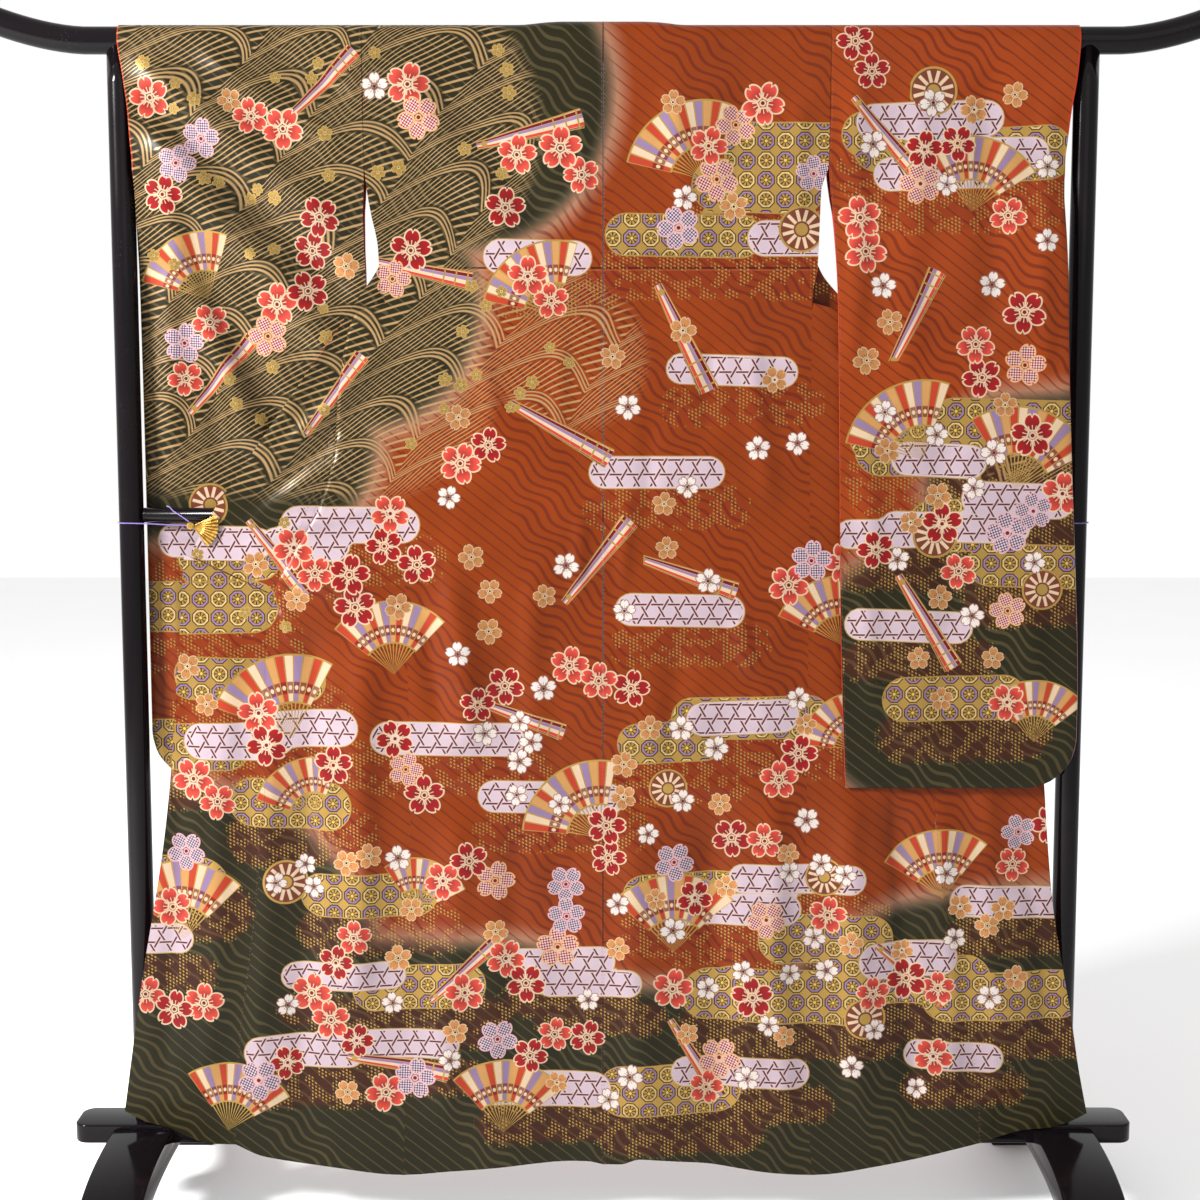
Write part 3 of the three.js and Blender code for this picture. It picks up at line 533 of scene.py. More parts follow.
def collar_patches():
    """The collar from its left end round the neck to its right end."""

    def half(side):
        rows = [collar_station(side, z) for z in ROW_Z[::-1] if z >= COLLAR_END_Z]
        for down in WRAP_STEPS[::-1]:
            inward = mix(COLLAR_NECK_LEAN["corner"], COLLAR_NECK_LEAN["side"], down / QUARTER_WRAP)
            rows.append([
                over_bar(
                    SIDES[side] * (NECK_HALF - NECK_GAP - inward * COLLAR_NECK_WIDTH * k),
                    max(down, NECK_GAP) + COLLAR_NECK_WIDTH * k,
                )
                for k in COLLAR_ACROSS
            ])  # fmt: skip
        return rows

    neck = [[over_bar(x, NECK_GAP + COLLAR_NECK_WIDTH * k) for k in COLLAR_ACROSS] for x in COLLAR_NECK_XS]
    grid, _ = refined(half("left") + neck + half("right")[::-1], step=COLLAR_FINE)
    return [patch(grid, design_of(grid), "collar")]


def sleeve_patches(side):
    """The sleeve's near and far layers, shut at the outer edge below the hand opening and at the bottom."""
    sign, look = SIDES[side], sleeve[side]
    heights = [z for z in ROW_Z if z > TURN_LOW_Z] + SLEEVE_ROWS
    heights += [SLEEVE_BOTTOM_Z + step for step in SLEEVE_LAST_ROWS]

    def out_edge(name, z):
        drop = SLEEVE_CORNER - (z - SLEEVE_BOTTOM_Z)
        if drop <= 0:
            return look(name, z)
        return look(name, z) - SLEEVE_CORNER + math.sqrt(max(SLEEVE_CORNER**2 - drop**2, 0))

    def layer(name):
        def outs(z):
            inner, outer = look("inner", z), out_edge(name + "Out", z)
            last = [outer - step for step in SLEEVE_LAST_COLUMNS]
            return [mix(inner, last[0], share) for share in SLEEVE_ACROSS] + last

        top = outs(BAR_Z)
        rows = [[over_bar(sign * out, -d if name == "near" else d) for out in top] for d in WRAP_STEPS]
        for z in heights:
            middle = (look("near", z) + look("far", z)) / 2
            row = []
            for out in outs(z):
                from_outer = out_edge(name + "Out", z) - out if z <= HAND_OPENING_END_Z else math.inf
                t = min(min(from_outer, z - SLEEVE_BOTTOM_Z) / SLEEVE_BEND, 1)
                shut = math.sqrt(1 - (1 - t) ** 2)
                row.append((sign * out, middle + (look(name, z) - middle) * shut, z))
            rows.append(row)
        return rows

    downs = WRAP_STEPS + [down_to(z) for z in heights]
    keys = [-d for d in downs[::-1]] + downs[1:]
    grid, fine = refined(layer("near")[::-1] + layer("far")[1:], keys)
    shut = fine >= down_to(HAND_OPENING_END_Z) - ROUNDING
    grid[shut, -1] = grid[::-1][shut, -1]
    grid[-1] = grid[0]
    half = len(fine) // 2
    panel = "sleeve_" + side
    return [
        patch(grid[half::-1], design_of(grid[half::-1], fine[half:]), panel),
        patch(grid[half:], design_of(grid[half:], fine[half:]), panel, flip=True),
    ]


# ---------- the dyed design: a layout of its own, in millimetres on the hanging cloth ----------

# Banks of moss green on the burnt orange ground, and the sea drawn over them: the ends of each one's
# middle line and its half height.
GREEN_BANKS = {
    "garment": [
        (-900, 1580, -200, 1585, 215), (-900, 1290, -340, 1300, 175), (-900, 1120, -450, 1110, 140),
        (-900, 340, -600, 350, 290), (-640, 200, -150, 190, 225), (-60, 150, 240, 110, 215),
        (500, 190, 900, 220, 290),
    ],
    "sleeve": [(560, 1060, 900, 1085, 120), (470, 790, 900, 770, 200)],
}  # fmt: skip
SEA_BANKS = {
    "garment": [(-900, 1560, -290, 1540, 200), (-900, 1240, -330, 1230, 190), (-90, 1265, -40, 1230, 95)],
    "sleeve": [(600, 1090, 900, 1100, 70)],
}

# Drifts in which the motifs are strewn: the middle, how far they spread, and how many of each.
DRIFT_COLUMNS = "x z wide high blossoms small gilt folded_fans open_fans clouds brocades"
DRIFTS = {
    "garment": [
        (-500, 1540, 130, 100, 3, 2, 30, 1, 0, 0, 0),
        (-190, 1560, 130, 90, 4, 4, 16, 1, 0, 0, 0),
        (150, 1500, 140, 110, 4, 10, 0, 1, 2, 1, 3),
        (-480, 1250, 140, 130, 4, 2, 26, 4, 1, 0, 0),
        (-160, 1240, 120, 140, 3, 3, 20, 3, 1, 1, 0),
        (140, 1170, 140, 130, 0, 7, 0, 1, 0, 2, 0),
        (-420, 940, 160, 90, 4, 6, 6, 2, 1, 3, 2),
        (-60, 930, 170, 110, 1, 12, 0, 2, 0, 1, 0),
        (210, 860, 110, 110, 1, 6, 0, 1, 1, 0, 0),
        (-430, 700, 170, 110, 4, 9, 0, 1, 2, 3, 3),
        (-90, 690, 160, 90, 5, 20, 0, 2, 1, 2, 0),
        (200, 640, 140, 90, 3, 12, 0, 1, 1, 1, 2),
        (-490, 430, 170, 120, 7, 10, 0, 3, 1, 2, 2),
        (-130, 430, 170, 110, 8, 22, 0, 3, 2, 2, 1),
        (180, 430, 140, 110, 6, 24, 0, 2, 1, 2, 4),
        (450, 420, 150, 120, 5, 20, 0, 2, 1, 2, 3),
        (-220, 230, 300, 60, 6, 14, 0, 2, 2, 3, 0),
        (260, 240, 260, 60, 5, 14, 0, 2, 1, 2, 1),
    ],
    "sleeve": [
        (480, 1540, 130, 80, 2, 8, 0, 1, 1, 3, 3),
        (480, 1320, 130, 120, 4, 12, 0, 2, 0, 0, 0),
        (500, 1060, 130, 110, 3, 22, 0, 2, 2, 4, 4),
        (490, 860, 120, 110, 4, 14, 0, 2, 1, 1, 2),
    ],
}
LAYOUT_SEED = {"garment": 41, "sleeve": 86}

RED, CORAL, LILAC_DOTS, RED_DOTS, WHITE, PEACH, GILT = range(1, 8)
FOLDED_FAN, OPEN_FAN, WHEEL = range(1, 4)
LARGE_KINDS = [RED, RED, CORAL, CORAL, LILAC_DOTS, RED_DOTS]
SMALL_KINDS = [WHITE, PEACH]
BLOSSOM_MAPS = ["blossoms_0", "blossoms_1"]

# The least and the greatest size of each motif, and by how many degrees a fan may be turned.
BLOSSOM_RADIUS = {"large": (25, 31), "small": (16, 20), "gilt": (8, 11)}
FAN_SIZE = {OPEN_FAN: (60, 92), FOLDED_FAN: (64, 84), WHEEL: (26, 34)}
FAN_TURN = {OPEN_FAN: 40, FOLDED_FAN: 70}
LARGE_KEPT_OFF, SMALL_KEPT_OFF, FANS_KEPT_OFF = 0.72, 0.8, 0.8
BUNCH_STEP = 46
LAYER_GAP = 13

# A band's half height, half length and tilt, and the scattered gold that hangs below each band.
BAND_HALF, BAND_LENGTH, BAND_TILT = (20, 27), (40, 85), 6
BAND_STOUTNESS = {"cloud": 1, "brocade": 1.4}
DUST = {"drop": 52, "end_drop": 48, "further": 30, "stoutness": 1.1}

FAR_AWAY = 400.0  # from a band or an edge: past all that it colours
BLANK = 9.0  # both coordinates where no motif lies
KIND_STEP = 10


def laid_out(zone):
    """The zone's blossoms, in layers in which none meets another, its fans and wheels, and its bands."""
    chance = np.random.default_rng(LAYOUT_SEED[zone])
    drifts = [dict(zip(DRIFT_COLUMNS.split(), row)) for row in DRIFTS[zone]]
    layers, fans = [[] for _ in BLOSSOM_MAPS], []
    bands = {"cloud": [], "brocade": [], "dust": []}

    def spot(drift):
        x = drift["x"] + drift["wide"] * chance.uniform(-1, 1)
        return x, drift["z"] + drift["high"] * chance.uniform(-1, 1)

    def add_blossom(x, z, radius, kind):
        near = [math.hypot(x - o[0], z - o[1]) / (radius + o[2]) for layer in layers for o in layer]
        if near and min(near) < (LARGE_KEPT_OFF if kind < WHITE else SMALL_KEPT_OFF):
            return
        for layer in layers:
            if all(math.hypot(x - o[0], z - o[1]) > radius + o[2] + LAYER_GAP for o in layer):
                layer.append((x, z, radius, kind, chance.uniform(0, 72)))
                return

    def add_fan(drift, kind):
        x, z = spot(drift)
        size = chance.uniform(*FAN_SIZE[kind])
        turned = chance.uniform(-FAN_TURN[kind], FAN_TURN[kind]) if kind in FAN_TURN else 0
        if all(math.hypot(x - o[0], z - o[1]) > FANS_KEPT_OFF * (size + o[2]) for o in fans):
            fans.append((x, z, size, kind, turned))

    def add_band(drift, name):
        x, z = spot(drift)
        half = chance.uniform(*BAND_HALF) * BAND_STOUTNESS[name]
        length = chance.uniform(*BAND_LENGTH)
        bands[name].append((x - length, z, x + length, z + chance.uniform(-BAND_TILT, BAND_TILT), half))
        start, end = (x - length, z - DUST["drop"]), (x + length + DUST["further"], z - DUST["end_drop"])
        bands["dust"].append((*start, *end, half * DUST["stoutness"]))

    for drift in drifts:
        kinds = [OPEN_FAN] * drift["open_fans"] + [WHEEL] * (drift["brocades"] > 1)
        for kind in kinds + [FOLDED_FAN] * drift["folded_fans"]:
            add_fan(drift, kind)
    for drift in drifts:
        for _ in range(drift["blossoms"]):
            x, z = spot(drift)
            for _ in range(chance.integers(1, 4)):
                add_blossom(x, z, chance.uniform(*BLOSSOM_RADIUS["large"]), chance.choice(LARGE_KINDS))
                way = chance.uniform(0, 2 * math.pi)
                x, z = x + BUNCH_STEP * math.cos(way), z + BUNCH_STEP * math.sin(way)
        for _ in range(drift["small"]):
            add_blossom(*spot(drift), chance.uniform(*BLOSSOM_RADIUS["small"]), chance.choice(SMALL_KINDS))
        for _ in range(drift["gilt"]):
            add_blossom(*spot(drift), chance.uniform(*BLOSSOM_RADIUS["gilt"]), GILT)
        for name in ["cloud"] * drift["clouds"] + ["brocade"] * drift["brocades"]:
            add_band(drift, name)
    return layers, fans, bands


def band_depth(x, z, bands):
    """How far inside the nearest rounded band each point is, minus outside."""
    deepest = np.full(x.shape, -FAR_AWAY)
    for x0, z0, x1, z1, half in bands:
        t = np.clip(((x - x0) * (x1 - x0) + (z - z0) * (z1 - z0)) / ((x1 - x0) ** 2 + (z1 - z0) ** 2), 0, 1)
        deepest = np.maximum(deepest, half - np.hypot(x - x0 - t * (x1 - x0), z - z0 - t * (z1 - z0)))
    return deepest


def motif_corners(corners, motifs):
    """For every corner of every quad, its place on the motif that covers the quad, in units of the motif's
    size: the part across, to which the kind is added in large steps, and the part up."""
    centre = corners.mean(axis=1)
    found = np.full(corners.shape, BLANK)
    best = np.full(len(corners), np.inf)
    for x, z, size, kind, turned in motifs:
        away = np.hypot(centre[:, 0] - x, centre[:, 1] - z)
        covered = (away < size + FINE) & (away / size < best)
        best[covered] = (away / size)[covered]
        a = math.radians(turned)
        dx, dz = (corners[covered, :, 0] - x) / size, (corners[covered, :, 1] - z) / size
        found[covered, :, 0] = KIND_STEP * kind + dx * math.cos(a) + dz * math.sin(a)
        found[covered, :, 1] = dz * math.cos(a) - dx * math.sin(a)
    return found


LAYOUTS = {zone: laid_out(zone) for zone in DRIFTS}

# How far the woven lines of each panel are shifted, because they don't run on over a seam.
PANEL_SHIFT = {"back": (0, 0), "front": (63, 41), "overlap": (17, 88), "collar": (90, 12)}
OTHER_SHIFT = (31, 57)
HALVES_SHIFT = 7.3

# How far each area's colour reaches past its edge, and the material slots, from the plainest on.
SOFT_EDGE = {"ground": 0, "sea": 17, "cloud": 2, "brocade": 2, "dust": 6}
PLAIN_GROUND, SEA, BLOSSOMS, ALL_MOTIFS, INSIDE = range(5)


def write_numbers(mesh, name, values):
    mesh.attributes.new(name, "FLOAT", "POINT").data.foreach_set("value", values)


def dye_marks(mesh, quads, corners, panels, face_count, point_count):
    """Writes the design's coordinates, areas and motifs on the outer silk, and gives each quad's material."""

    def corner_map(name, values):
        uv = np.full((face_count * 4, 2), BLANK, np.float32)
        uv[: len(values) * 4] = values.reshape(-1, 2)
        mesh.uv_layers.new(name=name).data.foreach_set("uv", uv.reshape(-1))

    zone = "sleeve" if panels[0] == "sleeve_right" else "garment"
    layers, fans, bands = LAYOUTS[zone]
    corner_map("design", corners * M)
    shifts = np.array([PANEL_SHIFT.get(p, OTHER_SHIFT) for p in panels], float)
    shifts += np.where(corners.mean(axis=1)[:, :1] < 0, HALVES_SHIFT, 0)
    corner_map("weave", (corners + shifts[:, None]) * M)
    covered = {}
    for name, motifs in zip([*BLOSSOM_MAPS, "fans"], [*layers, fans]):
        places = motif_corners(corners, motifs)
        covered[name] = (places[:, :, 1] != BLANK).any(axis=1)
        corner_map(name, places)
    spots = np.zeros((point_count, 2))
    spots[quads.reshape(-1)] = corners.reshape(-1, 2)
    areas = {"ground": GREEN_BANKS[zone], "sea": SEA_BANKS[zone], **bands}
    for name, area in areas.items():
        values = band_depth(spots[:, 0], spots[:, 1], area).astype(np.float32)
        write_numbers(mesh, name, values)
        covered[name] = (values[quads] > -SOFT_EDGE[name]).any(axis=1)
    blossoms = np.any([covered[name] for name in BLOSSOM_MAPS], axis=0)
    others = np.any([covered[name] for name in ("fans", "cloud", "brocade", "dust")], axis=0)
    found = np.where(covered["sea"], SEA, PLAIN_GROUND)
    found[blossoms] = np.where(covered["sea"][blossoms], ALL_MOTIFS, BLOSSOMS)
    found[others] = ALL_MOTIFS
    return found


# ---------- creases that the cloth keeps ----------

# The ends of each crease on the design, its half width and how far it stands out towards the side that
# the back faces, minus for a trough.
CREASES = {
    "back": [
        (-34, 1035, -35, 882, 9, 2.2), (29, 1062, 29, 896, 9, 2), (-212, 952, -179, 670, 22, 5),
        (-245, 900, -225, 700, 15, -3.5), (190, 896, 202, 784, 13, 2.8), (105, 860, 96, 640, 18, -3),
        (-95, 960, -100, 640, 18, 3), (-285, 782, -20, 775, 6, 1.6), (60, 770, 280, 765, 6, 1.5),
        (-260, 640, 250, 632, 6, 1.5), (-60, 1290, -62, 1120, 12, 2), (150, 1270, 146, 1110, 14, -2.2),
        (-180, 1290, -150, 1130, 14, 2.4), (-290, 1640, -120, 1380, 24, 4), (-250, 1640, -60, 1400, 20, -3),
        (95, 1630, 110, 1400, 16, 2.6), (190, 1620, 180, 1420, 20, -3), (270, 1600, 262, 1380, 16, 2.8),
        (-30, 1600, -34, 1380, 12, 2), (-200, 620, -230, 120, 26, 4.5), (-120, 600, -132, 110, 22, -4),
        (40, 620, 52, 120, 24, 3.6), (150, 610, 176, 120, 24, -3.6), (235, 640, 258, 120, 18, 3.4),
        (200, 1290, 230, 1010, 16, 2.4), (60, 1180, 66, 960, 12, -1.8),
    ],
    "front": [
        (-280, 1270, -545, 985, 11, 3), (-282, 1200, -545, 978, 10, -2.4), (-284, 1130, -545, 972, 11, 3),
        (-290, 1030, -548, 962, 10, 2.4), (-300, 900, -550, 954, 11, 2.6), (-330, 880, -345, 300, 22, 4),
        (-400, 880, -430, 140, 20, -3.6), (-455, 800, -490, 160, 15, 3.2),
        (280, 1270, 545, 985, 11, 3), (284, 1130, 545, 972, 11, 3), (300, 900, 550, 954, 11, 2.6),
        (345, 640, 365, 140, 22, 4), (410, 640, 440, 140, 20, -3.8), (470, 620, 500, 150, 15, 3),
        (-520, 860, -560, 170, 18, 3), (-575, 820, -625, 190, 15, -2.6),
        (520, 860, 565, 170, 18, 3), (590, 620, 640, 190, 15, -2.6),
        (-345, 1300, -545, 990, 9, 2), (345, 1300, 545, 990, 9, 2),
    ],
    "sleeve_left": [
        (-646, 1640, -345, 1402, 22, 6), (-640, 1600, -335, 1300, 20, -5), (-630, 1560, -345, 1200, 24, 6),
        (-560, 1650, -335, 1500, 17, 5), (-470, 1650, -333, 1570, 14, -3.5), (-618, 1495, -480, 1076, 20, 5),
        (-590, 1420, -400, 1040, 20, -4.5), (-600, 1380, -592, 720, 16, 4), (-545, 1260, -525, 700, 18, -4),
        (-470, 1180, -462, 720, 18, 4),
    ],
    "sleeve_right": [
        (345, 1640, 340, 1180, 16, 3.4), (430, 1640, 410, 1180, 22, 3), (520, 1640, 530, 1240, 22, -3.6),
        (600, 1600, 596, 1180, 16, 3), (360, 1140, 372, 720, 16, 3), (470, 1180, 480, 700, 24, -3.4),
        (575, 1160, 590, 720, 20, 3),
    ],
}  # fmt: skip
CREASE_BOLDNESS = {"back": 1.6, "front": 1.6, "sleeve_left": 2.1, "sleeve_right": 1.4}
CREASE_WANDER, CREASE_WAVE, CREASE_FADE = 3, 47, 70
CLIP_FLAT, CLIP_FADE = 10, 110
SEWN_TO_FRONT = ["overlap", "collar"]


def crease_depth(design, panel):
    """How far the creases lift each point; those of the front run on over what is sewn to it."""
    panel = "front" if panel in SEWN_TO_FRONT else panel
    x, z = design[..., 0], design[..., 1]
    total = np.zeros_like(x)
    for x0, z0, x1, z1, half_width, height in CREASES[panel]:
        length = math.hypot(x1 - x0, z1 - z0)
        ux, uz = (x1 - x0) / length, (z1 - z0) / length
        along = (x - x0) * ux + (z - z0) * uz
        off = (x - x0) * -uz + (z - z0) * ux
        wander = CREASE_WANDER * np.sin(along / CREASE_WAVE + x0)
        fade = min(CREASE_FADE, length / 3)
        ends = ease(along / fade) * ease((length - along) / fade)
        total += height * ends * np.exp(-(((off + wander) / half_width) ** 2))
    from_clip = np.hypot(np.abs(x) - CLIP["x"], z - CLIP["z"])
    return total * CREASE_BOLDNESS[panel] * ease((from_clip - CLIP["radius"] - CLIP_FLAT) / CLIP_FADE)


# ---------- meshes ----------


def make_object(name, mesh):
    piece = bpy.data.objects.new(name, mesh)
    bpy.context.collection.objects.link(piece)
    return piece


def make_mesh(name, points_mm, faces, smooth=True):
    mesh = bpy.data.meshes.new(name)
    mesh.from_pydata((np.asarray(points_mm, float) * M).tolist(), [], [list(map(int, f)) for f in faces])
    mesh.polygons.foreach_set("use_smooth", np.full(len(mesh.polygons), smooth))
    mesh.update()
    return mesh


def from_outer_edge(cloth):
    """How far each point of a sleeve lies from its outer edge; nothing else has a piped edge."""
    grid = cloth["grid"]
    if not cloth["panel"].startswith("sleeve"):
        return np.full(grid.shape[:2], FAR_AWAY)
    steps = np.linalg.norm(np.diff(grid[:, ::-1], axis=1), axis=2)
    return np.concatenate([np.zeros((len(grid), 1)), np.cumsum(steps, axis=1)], axis=1)[:, ::-1]


def grid_quads(ids):
    """The quads between the rows and columns of a grid of point numbers."""
    return np.stack([ids[:-1, :-1], ids[:-1, 1:], ids[1:, 1:], ids[1:, :-1]], axis=-1).reshape(-1, 4)


# Points meet where they fall into one cell; the shift keeps round sizes off the cells' borders.
CELLS_PER_MM, CELL_SHIFT = 40, 0.137


def merged(patches):
    """The patches' points with those that meet made one, which of all the points each one was, the quads,
    their corners on the design, each quad's panel, and the number that every point has now."""
    points = np.concatenate([p["grid"].reshape(-1, 3) for p in patches])
    design = np.concatenate([p["design"].reshape(-1, 2) for p in patches])
    cells = np.round(points * CELLS_PER_MM + CELL_SHIFT)
    _, first, index = np.unique(cells, axis=0, return_index=True, return_inverse=True)
    index = index.reshape(-1)
    start, quads, panels = 0, [], []
    for p in patches:
        rows, columns = p["grid"].shape[:2]
        own = grid_quads(start + np.arange(rows * columns).reshape(rows, columns))
        quads.append(own[:, ::-1] if p["flip"] else own)
        panels += [p["panel"]] * len(own)
        start += rows * columns
    quads = np.concatenate(quads)
    return points[first], first, index[quads], design[quads], np.array(panels), index


def unit(vectors):
    return vectors / np.maximum(np.linalg.norm(vectors, axis=1), 1e-9)[:, None]


def point_normals(points, quads):
    normals = np.zeros_like(points)
    a, b, c, d = [points[quads[:, i]] for i in range(4)]
    face = unit(np.cross(c - a, d - b))
    for i in range(4):
        np.add.at(normals, quads[:, i], face)
    return unit(normals)


def rim_edges(quads):
    """The edges that only one quad has, in its own direction."""
    edges = np.concatenate([quads[:, [i, (i + 1) % 4]] for i in range(4)])
    edges = edges[edges[:, 0] != edges[:, 1]]
    known = set(map(tuple, edges.tolist()))
    return np.array([(a, b) for a, b in edges.tolist() if (b, a) not in known])


def wall_faces(quads, count):
    """The faces of a closed wall: one layer, the other layer count points on, and the strip round the rim."""
    rim = rim_edges(quads)
    strip = np.stack([rim[:, 1], rim[:, 0], rim[:, 0] + count, rim[:, 1] + count], axis=-1)
    return np.concatenate([quads, quads[:, ::-1] + count, strip])


STITCH = {"spacing": 5.5, "length": 2.2, "thread": 0.2, "sides": 5, "wander": 0.12, "seed": 5}
SEAM_INSET = 0.3
STITCH_SUNK = 0.06


def stitch_tree():
    """Short straight stitches laid along the seam lines that it is given."""
    tree = bpy.data.node_groups.new("seam stitches", "GeometryNodeTree")
    face = tree.interface
    face.new_socket("Seams", in_out="INPUT", socket_type="NodeSocketGeometry")
    for name in ("Spacing", "Stitch length", "Thread radius", "Wander"):
        face.new_socket(name, in_out="INPUT", socket_type="NodeSocketFloat")
    face.new_socket("Seed", in_out="INPUT", socket_type="NodeSocketInt")
    face.new_socket("Thread", in_out="INPUT", socket_type="NodeSocketMaterial")
    face.new_socket("Stitches", in_out="OUTPUT", socket_type="NodeSocketGeometry")

    def add(kind, **settings):
        node = tree.nodes.new(kind)
        for setting, value in settings.items():
            setattr(node, setting, value)
        return node

    def join(source, target):
        tree.links.new(source, target)

    given, result = add("NodeGroupInput"), add("NodeGroupOutput")
    line, points = add("GeometryNodeMeshToCurve"), add("GeometryNodeCurveToPoints", mode="LENGTH")
    join(given.outputs["Seams"], line.inputs[0])
    join(line.outputs[0], points.inputs["Curve"])
    join(given.outputs["Spacing"], points.inputs["Length"])
    stitch = add("GeometryNodeMeshCylinder", fill_type="NGON")
    stitch.inputs["Vertices"].default_value = STITCH["sides"]
    join(given.outputs["Thread radius"], stitch.inputs["Radius"])
    join(given.outputs["Stitch length"], stitch.inputs["Depth"])
    aligned = add("FunctionNodeAlignRotationToVector", axis="Z")
    join(points.outputs["Tangent"], aligned.inputs["Vector"])
    chance = add("FunctionNodeRandomValue", data_type="FLOAT")
    less, more = add("ShaderNodeMath", operation="SUBTRACT"), add("ShaderNodeMath", operation="ADD")
    for node, slot in ((less, "Min"), (more, "Max")):
        node.inputs[0].default_value = 1
        join(given.outputs["Wander"], node.inputs[1])
        join(node.outputs[0], [i for i in chance.inputs if i.name == slot and i.type == "VALUE"][0])
    join(given.outputs["Seed"], chance.inputs["Seed"])
    laid = add("GeometryNodeInstanceOnPoints")
    join(points.outputs["Points"], laid.inputs["Points"])
    join(stitch.outputs["Mesh"], laid.inputs["Instance"])
    join(aligned.outputs[0], laid.inputs["Rotation"])
    join([o for o in chance.outputs if o.type == "VALUE"][0], laid.inputs["Scale"])
    real, coloured = add("GeometryNodeRealizeInstances"), add("GeometryNodeSetMaterial")
    join(laid.outputs[0], real.inputs[0])
    join(real.outputs[0], coloured.inputs["Geometry"])
    join(given.outputs["Thread"], coloured.inputs["Material"])
    join(coloured.outputs[0], result.inputs[0])
    return tree


def stitched(name, seam_line, tree, thread):
    """The stitches of one seam as a plain mesh."""
    mesh = bpy.data.meshes.new(name)
    edges = [(i, i + 1) for i in range(len(seam_line) - 1)]
    mesh.from_pydata((np.asarray(seam_line) * M).tolist(), edges, [])
    guide = make_object(name + "_line", mesh)
    laying = guide.modifiers.new("stitches", "NODES")
    laying.node_group = tree
    values = {
        "Spacing": STITCH["spacing"] * M, "Stitch length": STITCH["length"] * M,
        "Thread radius": STITCH["thread"] * M, "Wander": STITCH["wander"], "Seed": STITCH["seed"],
        "Thread": thread,
    }  # fmt: skip
    for item in tree.interface.items_tree:
        if item.name in values:
            laying[item.identifier] = values[item.name]
    bpy.context.view_layer.update()
    laid = bpy.data.meshes.new_from_object(guide.evaluated_get(bpy.context.evaluated_depsgraph_get()))
    bpy.data.objects.remove(guide)
    return make_object(name, laid)


SHARP_EDGE = math.radians(32)


def cloth_shell(name, patches, materials):
    """A thin closed shell of cloth, its silk outside, its lining inside and along its edges, and the line
    along which it is sewn."""
    points, first, quads, corners, panels, index = merged(patches)
    rows, columns = patches[0]["grid"].shape[:2]
    seam_ids = index[: rows * columns].reshape(rows, columns)[:, :2]
    first_faces = quads[: rows * 2]
    if point_normals(points, quads)[first_faces].mean(axis=(0, 1))[1] > 0:
        quads, corners = quads[:, ::-1], corners[:, ::-1]
    lift = np.zeros(len(points))
    for panel in np.unique(panels):
        here = panels == panel
        lift[quads[here].reshape(-1)] = crease_depth(corners[here], panel).reshape(-1)
    points = points - lift[:, None] * (0, 1, 0)
    normals = point_normals(points, quads)
    both = np.concatenate([points + normals * WALL / 2, points - normals * WALL / 2])
    proud = WALL / 2 - STITCH_SUNK
    seam = [mix(points[a], points[b], SEAM_INSET) + normals[a] * proud for a, b in seam_ids]
    faces = wall_faces(quads, len(points))
    mesh = make_mesh(name, both, faces)
    for material in materials:
        mesh.materials.append(material)
    slots = np.full(len(faces), INSIDE, np.int32)
    slots[: len(quads)] = dye_marks(mesh, quads, corners, panels, len(faces), len(both))
    mesh.polygons.foreach_set("material_index", slots)
    edge = np.full(len(both), FAR_AWAY, np.float32)
    edge[: len(points)] = np.concatenate([from_outer_edge(p).reshape(-1) for p in patches])[first]
    write_numbers(mesh, "from_edge", edge)
    mesh.set_sharp_from_angle(angle=SHARP_EDGE)
    return make_object(name, mesh), seam


# ---------- the stand's and the clips' shapes ----------

ROUND_SIDES, RAIL_SIDES = 48, 32
END_ROUND, END_POLE = 0.8, 0.02
BAR_PARTS = 60
DOME_RINGS, DOME_PARTS = 7, 7.4  # the last ring stays a little short of the pole
POST_RING_ZS = (400, 800, 1200, 1600)
POST_TOP_RINGS = (0.97, 0.6)
CORNER_PARTS, ARCH_PARTS = 8, 64
EDGE_ROUND, EDGE_ROUND_PARTS, SHARPER_THAN = 2.5, 3, math.radians(50)


def loft(name, rings):
    """A skin over rings of the same number of points, with flat ends."""
    rings = np.asarray(rings, float)
    count, sides = rings.shape[:2]
    ids = np.arange(count * sides).reshape(count, sides)
    faces = grid_quads(np.concatenate([ids, ids[:, :1]], axis=1)).tolist()
    faces += [ids[0][::-1].tolist(), ids[-1].tolist()]
    return make_mesh(name, rings.reshape(-1, 3), faces)


def circle(radius, sides):
    angle = np.linspace(0, 2 * math.pi, sides, endpoint=False)
    return radius * np.cos(angle), radius * np.sin(angle)


def ring_along_x(x, z, radius, sides):
    y, up = circle(radius, sides)
    return np.stack([np.full(sides, x), y, z + up], axis=-1)


def bar_rise(x):
    past = max(abs(x) - BAR_STRAIGHT_HALF, 0) / (BAR_HALF_LENGTH - BAR_STRAIGHT_HALF)
    return BAR_Z + BAR_END_RISE * past**BAR_END_CURVE


